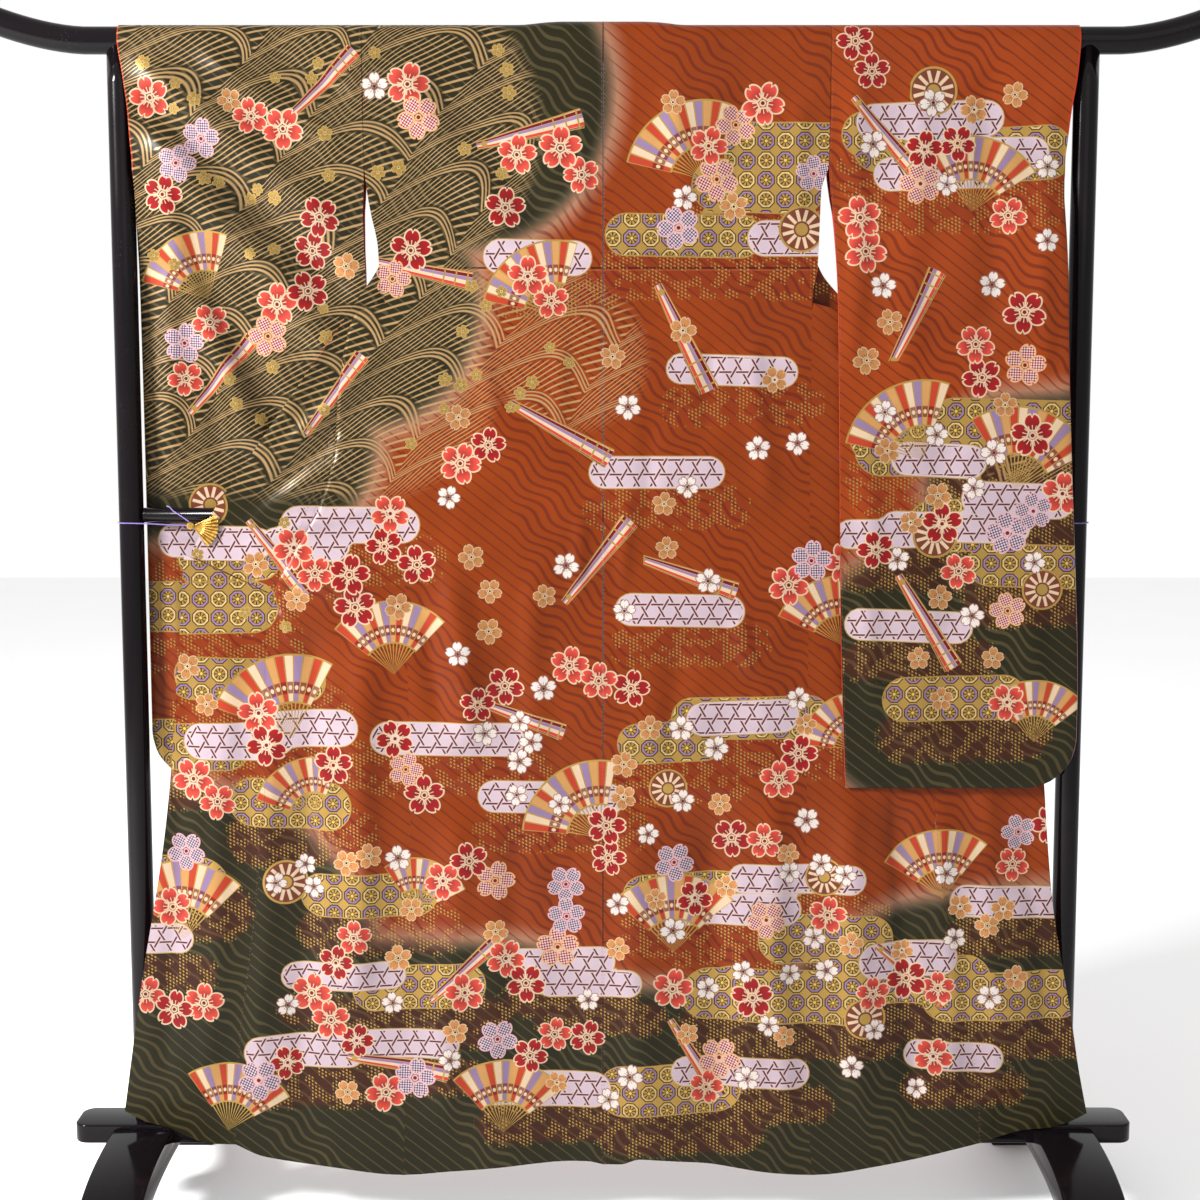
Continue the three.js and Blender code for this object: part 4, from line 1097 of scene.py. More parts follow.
def top_bar_mesh():
    """The round bar, whose ends turn up and close in domes."""
    y, up = circle(BAR_RADIUS, ROUND_SIDES)
    rings = []
    for part in range(-BAR_PARTS, BAR_PARTS + 1):
        x = part * BAR_HALF_LENGTH / BAR_PARTS
        slope = math.atan((bar_rise(x + 0.5) - bar_rise(x - 0.5)))
        rings.append(np.stack([x - up * math.sin(slope), y, bar_rise(x) + up * math.cos(slope)], axis=-1))
    end_slope = math.atan(BAR_END_RISE * BAR_END_CURVE / (BAR_HALF_LENGTH - BAR_STRAIGHT_HALF))
    for ring, sign in ((rings[0], -1), (rings[-1], 1)):
        centre = ring.mean(axis=0)
        way = np.array([sign * math.cos(end_slope), 0, math.sin(end_slope)])
        for k in range(1, DOME_RINGS + 1):
            angle = math.pi / 2 * k / DOME_PARTS
            dome = centre + (ring - centre) * math.cos(angle) + way * BAR_RADIUS * math.sin(angle)
            rings.insert(0, dome) if sign < 0 else rings.append(dome)
    return loft("lacquered_top_bar", rings)


def post_mesh(side):
    """A round post, hollowed at its top to the shape of the bar that lies on it."""
    bottom, seat = BOARD["top"] + REST_GAP, BAR_RADIUS + REST_GAP

    def ring(radius, z=None):
        x, y = circle(radius, ROUND_SIDES)
        height = BAR_Z - np.sqrt(seat**2 - y**2) if z is None else np.full(ROUND_SIDES, z)
        return np.stack([SIDES[side] * POST_X + x, y, height], axis=-1)

    rings = [ring(END_POLE, bottom), ring(POST_RADIUS - END_ROUND, bottom)]
    rings.append(ring(POST_RADIUS, bottom + END_ROUND))
    rings += [ring(POST_RADIUS, z) for z in POST_RING_ZS] + [ring(POST_RADIUS)]
    rings += [ring(POST_RADIUS * share) for share in POST_TOP_RINGS] + [ring(END_POLE)]
    return loft(f"lacquered_post_{side}", rings)


def rail_mesh():
    half = POST_X - POST_RADIUS - REST_GAP
    stops = [(-half, END_ROUND), (-half + END_ROUND, 0), (0, 0), (half - END_ROUND, 0), (half, END_ROUND)]
    rings = [ring_along_x(x, RAIL_Z, RAIL_RADIUS - less, RAIL_SIDES) for x, less in stops]
    return loft("lacquered_middle_rail", rings)


def prism(name, outline, bottom, top, axis_map):
    """An outline pushed out to a slab, with a small round on its edges."""
    count = len(outline)
    points = [axis_map(u, v, w) for w in (bottom, top) for u, v in outline]
    faces = [[i, (i + 1) % count, (i + 1) % count + count, i + count] for i in range(count)]
    faces += [list(range(count))[::-1], list(range(count, 2 * count))]
    piece = make_object(name, make_mesh(name, points, faces))
    rounding = piece.modifiers.new("edge round", "BEVEL")
    rounding.width = EDGE_ROUND * M
    rounding.segments = EDGE_ROUND_PARTS
    rounding.angle_limit = SHARPER_THAN
    return piece


def board_outline():
    """The board from above, a long rectangle with round corners."""
    corner = BOARD["corner"]
    x, y = BOARD["half_length"] - corner, BOARD["half_depth"] - corner
    points = []
    for cx, cy, start in ((x, -y, -90), (x, y, 0), (-x, y, 90), (-x, -y, 180)):
        for k in range(CORNER_PARTS + 1):
            angle = math.radians(start + 90 * k / CORNER_PARTS)
            points.append((cx + corner * math.cos(angle), cy + corner * math.sin(angle)))
    return points


def foot_outline():
    """The arch from the side, with the notch that takes the board."""
    power = 2 / FOOT["roundness"]

    def arch(half_depth, top):
        found = []
        for i in range(ARCH_PARTS + 1):
            angle = math.pi * i / ARCH_PARTS
            across, up = math.cos(angle), max(math.sin(angle), 0)
            found.append((half_depth * math.copysign(abs(across) ** power, across), top * up**power))
        return found

    notch_half, notch_bottom = BOARD["half_depth"] + REST_GAP, BOARD["bottom"] - REST_GAP
    outer = arch(FOOT["half_depth"], FOOT["top"])
    before = [p for p in outer if p[0] > notch_half]
    after = [p for p in outer if p[0] < -notch_half]
    top = before[-1][1]
    notch = [(notch_half, top), (notch_half, notch_bottom), (-notch_half, notch_bottom), (-notch_half, top)]
    inner = arch(FOOT["half_depth"] - FOOT["thick"], FOOT["top"] - FOOT["thick"])
    return before + notch + after + inner[::-1]


RIB = {"depth": 1.7, "inner_share": 0.6, "start": 0.38, "run_in": 0.2, "scallop": 0.05, "steps": 8}
FAN_RINGS = (0.1, 0.3, 0.42, 0.5, 0.75, 0.96, 1.0)
HEEL = 2
KNOB = {"out": -4, "before": 1, "behind": 0.6, "sides": 32}
EDGE_WIRE = {"start": 4, "short": 1, "radius": 0.9, "sides": 16}
ROD_END = {"proud": 0.3, "radius_share": 0.6}
ASKEW = (0.3, 0.2, 1)  # a direction along which no rod lies


def clip_leaf(near, ribbed):
    """One leaf of the clip: its pleats begin past a plain middle and run out to a scalloped rim."""
    steps = CLIP["ribs"] * RIB["steps"]
    outer, inner = [], []
    for ring in FAN_RINGS:
        for i in range(steps + 1):
            angle = math.radians(CLIP["lowest"] + CLIP["spread"] * i / steps)
            wave = abs(math.sin(math.pi * i / RIB["steps"]))
            scallop = 1 - RIB["scallop"] * (1 - wave) if ribbed else 1
            radius = CLIP["radius"] * ring * scallop
            rise = RIB["depth"] * wave * float(ease((ring - RIB["start"]) / RIB["run_in"])) if ribbed else 0
            x, z = radius * math.cos(angle) - HEEL * (1 - ring), radius * math.sin(angle)
            outer.append((x, near - rise, z))
            inner.append((x, near + CLIP["plate"] - RIB["inner_share"] * rise, z))
    quads = grid_quads(np.arange(len(outer)).reshape(len(FAN_RINGS), steps + 1))
    return outer + inner, wall_faces(quads, len(outer)).tolist()


def clip_rod(start, end, radius, sides):
    """A round rod with slightly domed ends."""
    start, end = np.array(start, float), np.array(end, float)
    along = (end - start) / np.linalg.norm(end - start)
    across = np.cross(along, ASKEW)
    across /= np.linalg.norm(across)
    up = np.cross(along, across)
    proud, share = along * ROD_END["proud"], ROD_END["radius_share"]
    points, faces = [], []
    for centre, size in ((start - proud, share), (start, 1), (end, 1), (end + proud, share)):
        for i in range(sides):
            a = 2 * math.pi * i / sides
            points.append(centre + radius * size * (across * math.cos(a) + up * math.sin(a)))
    for ring in range(3):
        for i in range(sides):
            a, b = ring * sides + i, ring * sides + (i + 1) % sides
            faces.append([a, b, b + sides, a + sides])
    faces += [list(range(sides))[::-1], list(range(3 * sides, 4 * sides))]
    return points, faces


def clip_mesh(side):
    """The pleated near leaf with a wire along each of its sides, the plain far leaf, and the knob."""
    plate, grip, sign = CLIP["plate"], CLIP["grip"], SIDES[side]
    front, back = -plate - KNOB["before"], plate + grip + KNOB["behind"]
    knob = clip_rod((KNOB["out"], front, 0), (KNOB["out"], back, 0), CLIP["knob"], KNOB["sides"])
    solids = [clip_leaf(-plate, True), clip_leaf(grip, False), knob]
    for angle in (CLIP["lowest"], CLIP["lowest"] + CLIP["spread"]):
        way = np.array([math.cos(math.radians(angle)), 0, math.sin(math.radians(angle))])
        reach = EDGE_WIRE["start"], CLIP["radius"] - EDGE_WIRE["short"]
        start, end = [way * out + (0, -plate, 0) for out in reach]
        solids.append(clip_rod(start, end, EDGE_WIRE["radius"], EDGE_WIRE["sides"]))
    points, faces = [], []
    for solid_points, solid_faces in solids:
        turned = solid_faces if sign < 0 else [face[::-1] for face in solid_faces]
        faces += [[i + len(points) for i in face] for face in turned]
        points += [tuple(p) for p in solid_points]
    placed = [(sign * (CLIP["x"] - x), CLIP["front"] + y, CLIP["z"] + z) for x, y, z in points]
    return make_mesh(f"gilt_fan_clip_{side}", placed, faces, smooth=False)


# ---------- materials ----------


def feed(tree, value, socket):
    """Leads what another node gives to a node's input, or sets a plain number or colour there."""
    if isinstance(value, Flow):
        tree.links.new(value.socket, socket)
    elif isinstance(value, bpy.types.NodeSocket):
        tree.links.new(value, socket)
    else:
        socket.default_value = value


class Flow:
    """A number on its way through a material's nodes: sums and products read as on plain numbers."""

    def __init__(self, tree, socket):
        self.tree, self.socket = tree, socket

    def op(self, operation, *others):
        node = self.tree.nodes.new("ShaderNodeMath")
        node.operation = operation
        for slot, value in zip(node.inputs, (self, *others)):
            feed(self.tree, value, slot)
        return Flow(self.tree, node.outputs[0])

    def __add__(self, other):
        return self.op("ADD", other)

    def __sub__(self, other):
        return self.op("SUBTRACT", other)

    def __mul__(self, other):
        return self.op("MULTIPLY", other)

    def __truediv__(self, other):
        return self.op("DIVIDE", other)

    def part(self):
        return self.op("FRACT")

    def size(self):
        return self.op("ABSOLUTE")

    def sine(self):
        return self.op("SINE")

    def below(self, limit, soft):
        """1 where it is less than the limit, 0 where it is more, with a soft edge."""
        node = self.tree.nodes.new("ShaderNodeMapRange")
        node.interpolation_type = "SMOOTHSTEP"
        values = {"Value": self, "From Min": limit - soft, "From Max": limit + soft, "To Min": 1, "To Max": 0}
        for name, value in values.items():
            feed(self.tree, value, node.inputs[name])
        return Flow(self.tree, node.outputs[0])

    def rest(self):
        """What is missing to 1."""
        return self * -1 + 1

    def above(self, limit, soft):
        return self.below(limit, soft).rest()

    def near(self, middle, half, soft):
        return (self - middle).size().below(half, soft)


def hypot(a, b):
    return (a * a + b * b).op("SQRT")


class Coats:
    """Colour and gold that are built up coat by coat in a node tree."""

    def __init__(self, tree, colour, gold=None):
        self.tree, self.colour, self.gold = tree, colour, gold

    def parts(self, vector):
        split = self.tree.nodes.new("ShaderNodeSeparateXYZ")
        self.tree.links.new(vector, split.inputs[0])
        return [Flow(self.tree, output) for output in split.outputs]

    def uv(self, name):
        node = self.tree.nodes.new("ShaderNodeUVMap")
        node.uv_map = name
        return self.parts(node.outputs[0])[:2]

    def attribute(self, name):
        node = self.tree.nodes.new("ShaderNodeAttribute")
        node.attribute_name = name
        return Flow(self.tree, node.outputs["Fac"])

    def texture(self, kind, scale, place):
        node = self.tree.nodes.new("ShaderNodeTex" + kind)
        node.inputs["Scale"].default_value = scale
        self.tree.links.new(place, node.inputs["Vector"])
        return node

    def noise(self, scale, place, detail):
        node = self.texture("Noise", scale, place)
        node.inputs["Detail"].default_value = detail
        return Flow(self.tree, node.outputs[0])

    def vector(self, x, y):
        node = self.tree.nodes.new("ShaderNodeCombineXYZ")
        self.tree.links.new(x.socket, node.inputs[0])
        self.tree.links.new(y.socket, node.inputs[1])
        return node.outputs[0]

    def choice(self, value, colours):
        """One of the colours, by a number from 0 upwards."""
        node = self.tree.nodes.new("ShaderNodeValToRGB")
        node.color_ramp.interpolation = "CONSTANT"
        steps = node.color_ramp.elements
        for step, position, colour in zip(steps, (0, 1), (colours[0], colours[-1])):
            step.position = position
            step.color = (*colour, 1)
        for i, colour in enumerate(colours[1:], start=1):
            steps.new((i - 0.5) / len(colours)).color = (*colour, 1)
        self.tree.links.new((value / len(colours)).socket, node.inputs[0])
        return node.outputs[0]

    def coat(self, colour, mask, gold=0.0):
        """Lays a colour on, where the mask is; gold says how much it shines as leaf."""
        node = self.tree.nodes.new("ShaderNodeMix")
        node.data_type = "RGBA"
        self.tree.links.new(mask.socket, node.inputs["Factor"])
        self.tree.links.new(self.colour, node.inputs[6])
        feed(self.tree, (*colour, 1) if isinstance(colour, tuple) else colour, node.inputs[7])
        self.colour = node.outputs[2]
        if self.gold is not None:
            self.gold = self.gold * mask.rest() + mask * gold

    def shade(self, amount):
        """Multiplies the colour by a number."""
        node = self.tree.nodes.new("ShaderNodeVectorMath")
        node.operation = "SCALE"
        self.tree.links.new(self.colour, node.inputs[0])
        self.tree.links.new(amount.socket, node.inputs["Scale"])
        self.colour = node.outputs[0]

    def through(self, group):
        """Sends colour and gold through a group of coats."""
        node = self.tree.nodes.new("ShaderNodeGroup")
        node.node_tree = group
        self.tree.links.new(self.colour, node.inputs["Colour"])
        if self.gold is not None:
            self.tree.links.new(self.gold.socket, node.inputs["Gold"])
        self.colour, self.gold = node.outputs["Colour"], Flow(self.tree, node.outputs["Gold"])


def group_of_coats(painter, *details):
    """The coats that a painter lays, as a group that many materials share."""
    tree = bpy.data.node_groups.new(painter.__name__.replace("_", " "), "ShaderNodeTree")
    for way in ("INPUT", "OUTPUT"):
        tree.interface.new_socket("Colour", in_out=way, socket_type="NodeSocketColor")
        tree.interface.new_socket("Gold", in_out=way, socket_type="NodeSocketFloat")
    before, after = tree.nodes.new("NodeGroupInput"), tree.nodes.new("NodeGroupOutput")
    coats = Coats(tree, before.outputs["Colour"], Flow(tree, before.outputs["Gold"]))
    painter(coats, *details)
    tree.links.new(coats.colour, after.inputs["Colour"])
    tree.links.new(coats.gold.socket, after.inputs["Gold"])
    return tree


class Paint(Coats):
    """A whole material: its coats, and how it shines and stands up."""

    def __init__(self, name, colour):
        self.material = bpy.data.materials.new(name)
        self.material.use_nodes = True
        tree = self.material.node_tree
        self.shader = tree.nodes["Principled BSDF"]
        base = tree.nodes.new("ShaderNodeRGB")
        base.outputs[0].default_value = (*colour, 1)
        super().__init__(tree, base.outputs[0])

    def object_place(self):
        return self.tree.nodes.new("ShaderNodeTexCoord").outputs["Object"]

    def set(self, **values):
        for name, value in values.items():
            feed(self.tree, value, self.shader.inputs[name.replace("_", " ")])

    def done(self, height=None, depth=None):
        """The finished material; the height makes a relief of the depth, in metres."""
        self.set(Base_Color=self.colour)
        if height is not None:
            bump = self.tree.nodes.new("ShaderNodeBump")
            bump.inputs["Distance"].default_value = depth
            self.tree.links.new(height.socket, bump.inputs["Height"])
            self.tree.links.new(bump.outputs[0], self.shader.inputs["Normal"])
        return self.material


def tone(*screen_values):
    """A colour from its red, green and blue on a screen, 0 to 255."""
    shares = [value / 255 for value in screen_values]
    return tuple(s / 12.92 if s * 255 < 10 else ((s + 0.055) / 1.055) ** 2.4 for s in shares)


ORANGE, SLEEVE_ORANGE = tone(144, 56, 2), tone(158, 62, 8)
MOSS, DARK_RED, BURGUNDY = tone(38, 34, 13), tone(116, 22, 22), tone(92, 40, 54)
CREAM, OLD_GOLD, LILAC = tone(228, 198, 164), tone(198, 158, 82), tone(150, 122, 158)
PALE_CLOUD, PEACH_LEAF, SEA_LINE = tone(212, 188, 188), tone(220, 150, 92), tone(204, 164, 112)
DARK_BROWN, CLEAR_WHITE = tone(62, 30, 22), tone(236, 222, 212)

# The petals' colour and that of their edge and lines, by kind from 0 upwards.
PETALS = [
    ORANGE, tone(166, 24, 26), tone(222, 78, 62), tone(100, 58, 108), tone(160, 34, 40), CLEAR_WHITE,
    PEACH_LEAF, OLD_GOLD,
]  # fmt: skip
PETAL_EDGES = [
    ORANGE, CREAM, CREAM, tone(226, 178, 182), tone(230, 176, 128), tone(150, 110, 100),
    tone(240, 206, 160), tone(222, 190, 120),
]  # fmt: skip
BLOSSOM_HEARTS = [DARK_RED] * 5 + [DARK_BROWN] * 3
HALF_FIFTH = math.pi / 5


def folded(angle, parts):
    """An angle counted from the middle of the nearest of so many equal parts of a turn."""
    return ((angle * (parts / (2 * math.pi))).part() - 0.5) * (2 * math.pi / parts)


def motif_here(paint, name):
    """The kind of the motif that lies here, and the place on it across and up, in units of its size."""
    coded, up = paint.uv(name)
    kind = ((coded + KIND_STEP / 2) / KIND_STEP).op("FLOOR")
    return kind, coded - kind * KIND_STEP, up


# In units of a blossom's radius: where a petal's round part lies, and how far the round part, the notch at
# its tip and the cleft beside it reach, on the whole petal and on its coloured fill.
PETAL = {"out": 0.58, "narrowing": 0.78, "aside": 0.07, "notch_slope": 2.1}
PETAL_REACH = {"whole": (0.315, 0.85, 0.0), "filled": (0.255, 0.75, 0.045)}
PETAL_SHADOW = {"reach": 0.6, "soft": 0.34, "strength": 0.7}
BLOSSOM_DOTS = {"per_radius": 6, "middle": 0.22, "half": 0.15, "strength": 0.9}
SPOKES = {"count": 15, "half": 0.05, "middle": 0.3, "reach": 0.16}
HEART_RING, HEART = 0.15, 0.09
PETAL_SHINE = 0.7
CRISP = 0.02  # how soft a crisp edge is


def paint_blossoms(paint, name):
    """Five-petalled blossoms with notched tips, some of them dotted."""
    kind, x, y = motif_here(paint, name)
    away, angle = hypot(x, y), y.op("ARCTAN2", x)
    bent = folded(angle, 5)
    out, aside = away * bent.op("COSINE"), (away * bent.sine()).size()
    petal = hypot((out - PETAL["out"]) * PETAL["narrowing"], aside - PETAL["aside"])
    notch = out - aside * PETAL["notch_slope"]
    cleft = out * math.sin(HALF_FIFTH) - aside * math.cos(HALF_FIFTH)
    whole, filled = [
        petal.below(reach, CRISP) * notch.below(tip, CRISP) * cleft.above(beside, 0.015)
        for reach, tip, beside in PETAL_REACH.values()
    ]
    edge = paint.choice(kind, PETAL_EDGES)
    paint.coat(edge, whole)
    paint.coat(paint.choice(kind, PETALS), filled)
    dotted = kind.near((LILAC_DOTS + RED_DOTS) / 2, 0.8, 0.1)
    shaded = filled * away.below(PETAL_SHADOW["reach"], PETAL_SHADOW["soft"])
    shaded = shaded * kind.below(LILAC_DOTS - 0.5, 0.1)
    paint.coat(DARK_RED, shaded * PETAL_SHADOW["strength"])
    dots = [(diagonal * BLOSSOM_DOTS["per_radius"]).part() - 0.5 for diagonal in (x + y, x - y)]
    ringed = hypot(*dots).near(BLOSSOM_DOTS["middle"], BLOSSOM_DOTS["half"], 0.06)
    paint.coat(CLEAR_WHITE, filled * dotted * ringed * BLOSSOM_DOTS["strength"])
    spokes = folded(angle, SPOKES["count"]).size().below(SPOKES["half"], CRISP)
    spokes = spokes * away.near(SPOKES["middle"], SPOKES["reach"], CRISP)
    dark_lines = kind.above(WHITE - 0.5, 0.1)
    paint.coat(edge, spokes * filled * dotted.rest() * dark_lines.rest())
    paint.coat(DARK_BROWN, spokes * filled * dark_lines * 0.8)
    paint.coat(edge, away.below(HEART_RING, CRISP))
    paint.coat(paint.choice(kind, BLOSSOM_HEARTS), away.below(HEART, CRISP))
    paint.gold = paint.gold.op("MAXIMUM", kind.above(PEACH - 0.5, 0.1) * whole * PETAL_SHINE)


FAN_SHINE = 0.6
FOLDED_STRIPES = [BURGUNDY, tone(206, 70, 44), CREAM, LILAC, DARK_RED, PEACH_LEAF]
OPEN_STRIPES = [tone(190, 64, 40), CREAM, LILAC, tone(206, 150, 90)]
WHEEL_BROWN = tone(120, 60, 40)

# In units of each one's size. A folded fan: its half width in the middle and how it widens, its stripes on
# either side, its gold edge and bands, and its rivet.
FOLDED = {"half": 0.13, "widening": 0.055, "stripes": 2.5, "edge": 0.018}
FOLDED_BANDS = {"per_size": 4.5, "width": 0.14, "from": 0.25}
RIVET = {"down": 0.86, "radius": 0.055}

# An open fan: its pivot, half its spread in radians, its ribs, its leaf and the dotted band on it.
PIVOT_DOWN, HALF_SPREAD, OPEN_RIBS = 0.8, 0.84, 14
RIB_WIDTH = 2 * HALF_SPREAD / OPEN_RIBS
LEAF_MIDDLE, LEAF_HALF, LEAF_EDGE = 0.92, 0.38, 0.03
DOT_BAND, DOT_BAND_HALF, DOT_RADIUS = 0.78, 0.09, 0.035
STICKS = {"reach": 0.55, "half": 0.16}

# A wheel: its rim, the brown field in it, its spokes and its hub.
WHEEL_PARTS = {"rim": 0.97, "field": 0.88, "spokes": 12, "spoke_half": 0.07, "hub": 0.26}


def paint_fans(paint):
    """Folded fans, open fans and wheels."""
    kind, x, y = motif_here(paint, "fans")
    away = hypot(x, y)

    closed = kind.near(FOLDED_FAN, 0.5, 0.1) * away.below(1, 0.01)
    half = x * FOLDED["widening"] + FOLDED["half"]
    from_side, stripe = y.size() - half, (y / half) * FOLDED["stripes"]
    body = closed * from_side.below(0, 0.008)
    paint.coat(OLD_GOLD, body, FAN_SHINE)
    stripes = paint.choice(stripe.op("FLOOR") + 3, FOLDED_STRIPES)
    paint.coat(stripes, body * from_side.below(-FOLDED["edge"], 0.008))
    paint.coat(CREAM, body * stripe.part().below(0.1, 0.04) * 0.8)
    bands = (x * FOLDED_BANDS["per_size"]).part().below(FOLDED_BANDS["width"], CRISP)
    paint.coat(OLD_GOLD, body * bands * x.above(FOLDED_BANDS["from"], CRISP), FAN_SHINE)
    paint.coat(OLD_GOLD, closed * hypot(x + RIVET["down"], y).below(RIVET["radius"], 0.01), FAN_SHINE)

    opened = kind.near(OPEN_FAN, 0.5, 0.1)
    up = y + PIVOT_DOWN
    reach, lean = hypot(x, up), x.op("ARCTAN2", up)
    spread = opened * lean.size().below(HALF_SPREAD, 0.01)
    leaf = spread * reach.near(LEAF_MIDDLE, LEAF_HALF, 0.006)
    ribs = (lean + HALF_SPREAD) * (1 / RIB_WIDTH)
    rib = ribs.part()
    paint.coat(OLD_GOLD, leaf, FAN_SHINE)
    cell = ribs.op("FLOOR").op("MODULO", len(OPEN_STRIPES))
    fill = leaf * reach.near(LEAF_MIDDLE, LEAF_HALF - LEAF_EDGE, 0.006) * rib.near(0.5, 0.42, 0.03)
    paint.coat(paint.choice(cell, OPEN_STRIPES), fill)
    paint.coat(DARK_RED, fill * reach.near(DOT_BAND, DOT_BAND_HALF, 0.01) * 0.8)
    from_dot = hypot(rib * RIB_WIDTH - RIB_WIDTH / 2, reach - DOT_BAND)
    paint.coat(CREAM, fill * from_dot.below(DOT_RADIUS, 0.008))
    sticks = reach.below(STICKS["reach"], 0.01) * rib.near(0.5, STICKS["half"], 0.05)
    paint.coat(OLD_GOLD, spread * sticks, FAN_SHINE)

    wheel = kind.near(WHEEL, 0.5, 0.1) * away.below(WHEEL_PARTS["rim"], 0.015)
    from_spoke = (away * folded(y.op("ARCTAN2", x), WHEEL_PARTS["spokes"]).sine()).size()
    spokes = away.near(0.58, 0.24, 0.015) * from_spoke.below(WHEEL_PARTS["spoke_half"], 0.015)
    paint.coat(OLD_GOLD, wheel, FAN_SHINE)
    paint.coat(WHEEL_BROWN, wheel * away.below(WHEEL_PARTS["field"], 0.015))
    paint.coat(CREAM, wheel * spokes)
    paint.coat(OLD_GOLD, wheel * away.below(WHEEL_PARTS["hub"], 0.015), FAN_SHINE)


def in_millimetres(paint):
    u, v = paint.uv("design")
    return u * 1000, v * 1000


# In millimetres: the grid of the scattered gold, the pitch of the brocade's octagons and of the kagome
# strips, and the gold edge of each band. The parts of an octagon and of a strip are shares of their pitch.
DUST_PITCH, BROCADE_PITCH, KAGOME_PITCH = 5, 26, 20
BAND_EDGE = 1.6
OCTAGON_HALF = 0.43
SLANTED = 0.707
FLOWER, FLOWER_PETALS, FLOWER_BUD = 0.32, (0.2, 0.09), 0.08
KAGOME_WAYS = [math.radians(way) for way in (90, 30, 150)]
KAGOME_STRIP, KAGOME_LINE, KAGOME_BREAK = 0.17, 0.06, 0.13
BROCADE_COLOURS = [LILAC, tone(214, 184, 118)]
BUD_GOLD, CLOUD_LILAC = tone(232, 198, 96), tone(206, 184, 196)


def paint_areas(paint):
    """The kagome clouds, octagon brocade and scattered gold, each inside its own rounded bands."""
    x, z = in_millimetres(paint)
    dust = paint.attribute("dust")
    grain = hypot((x / DUST_PITCH).part() - 0.5, ((z + x * 0.5) / DUST_PITCH).part() - 0.5)
    kept = paint.noise(60, paint.vector(x * M, z * M), 0).above(0.5, 0.04)
    paint.coat(DARK_RED, dust.above(0, 5) * 0.22)
    paint.coat(OLD_GOLD, dust.above(-4, 4) * grain.below(0.26, 0.08) * kept, 0.8)

    brocade = paint.attribute("brocade")
    paint.coat(OLD_GOLD, brocade.above(0, 0.5), 0.7)
    column, row = x / BROCADE_PITCH, z / BROCADE_PITCH
    u, v = column.part() - 0.5, row.part() - 0.5
    corner = (u.size() + v.size()) * SLANTED
    octagon = u.size().op("MAXIMUM", v.size()).op("MAXIMUM", corner)
    cell = column.op("FLOOR") + row.op("FLOOR")
    inside = brocade.above(BAND_EDGE, 0.5)
    chequer = paint.choice((cell * 0.5).part() * 2, BROCADE_COLOURS)
    paint.coat(chequer, inside * octagon.below(OCTAGON_HALF, 0.02))
    paint.coat(DARK_BROWN, inside * octagon.near(OCTAGON_HALF, 0.03, 0.015))
    away, bent = hypot(u, v), folded(v.op("ARCTAN2", u), 8)
    paint.coat(DARK_BROWN, inside * away.below(FLOWER, CRISP))
    paint.coat(OLD_GOLD, inside * away.near(*FLOWER_PETALS, CRISP) * bent.size().below(0.25, 0.05), 0.7)
    paint.coat(BUD_GOLD, inside * away.below(FLOWER_BUD, CRISP), 0.3)

    cloud = paint.attribute("cloud")
    paint.coat(OLD_GOLD, cloud.above(0, 0.5), 0.6)
    inner = cloud.above(BAND_EDGE, 0.4)
    paint.coat(CLOUD_LILAC, inner)
    strips = [
        (((x * math.cos(way) + z * math.sin(way)) / KAGOME_PITCH).part() - 0.5).size() for way in KAGOME_WAYS
    ]
    for strip in strips:
        paint.coat(PALE_CLOUD, inner * strip.below(KAGOME_STRIP, 0.03))
    # Each way's dark lines are broken where the strips of the way before it pass over them.
    for strip, over in zip(strips, [strips[-1], *strips]):
        paint.coat(BURGUNDY, inner * strip.below(KAGOME_LINE, CRISP) * over.above(KAGOME_BREAK, 0.03))
    paint.coat(PALE_CLOUD, cloud.near(2.4, 1.2, 0.4))


# In millimetres: how high a row of waves is and how wide a wave, how far the rows wander, how the combed
# lines lean and how far they are apart. The crest lines' places and half widths are shares of the row.
SEA_ROW, SEA_WIDTH, SEA_WANDER = 62, 168, 70
COMB_LEAN, COMB_PITCH = 52, 11.5
CREST_LINES = [(0.06, 0.02), (0.14, 0.017), (0.22, 0.014)]


def paint_sea(paint):
    """Rows of crests: arched lines, and long combed lines that sweep down under them."""
    x, z = in_millimetres(paint)
    wander = (paint.noise(5, paint.vector(x * M, z * M), 1) - 0.5) * SEA_WANDER
    slope = x - z * 0.83 + wander
    arch = (slope * (math.pi / SEA_WIDTH)).sine().size()
    level = ((z + wander * 0.5) / SEA_ROW - arch * 0.8).part()
    comb = ((slope - level * COMB_LEAN) / COMB_PITCH).part().near(0.5, 0.13, 0.07)
    lines = comb * level.near(0.63, 0.34, 0.05)
    for place, half in CREST_LINES:
        lines = lines.op("MAXIMUM", level.near(place, half, 0.014))
    sea = paint.attribute("sea").above(0, 16)
    paint.coat(SEA_LINE, lines * sea * 0.92, 0.45)


# In millimetres: the sewn tuck across the back, drawn only as a line of painted shade with a line of painted
# highlight under it, the painted shade along the centre seam, the red piping, and the woven lines, which
# flow in broad belts. The slant is theirs.
TUCK_Z, BACK_REACH = 1351, 300
CENTRE_SEAM_HALF, PIPING = 1.1, 1.7
WOVEN_SLANT, WOVEN_PITCH, BELT_PITCH = math.radians(38), 13.5, 230
WOVEN_GREEN, WOVEN_RED = tone(104, 92, 58), tone(94, 24, 10)
BANK_RIM, PIPING_RED = tone(236, 200, 166), tone(190, 52, 30)
TUCK_PAINTED_HIGHLIGHT, TUCK_PAINTED_SHADE, CENTRE_SEAM_PAINTED_SHADE = tone(216, 120, 70), tone(30, 12, 8), tone(40, 16, 10)


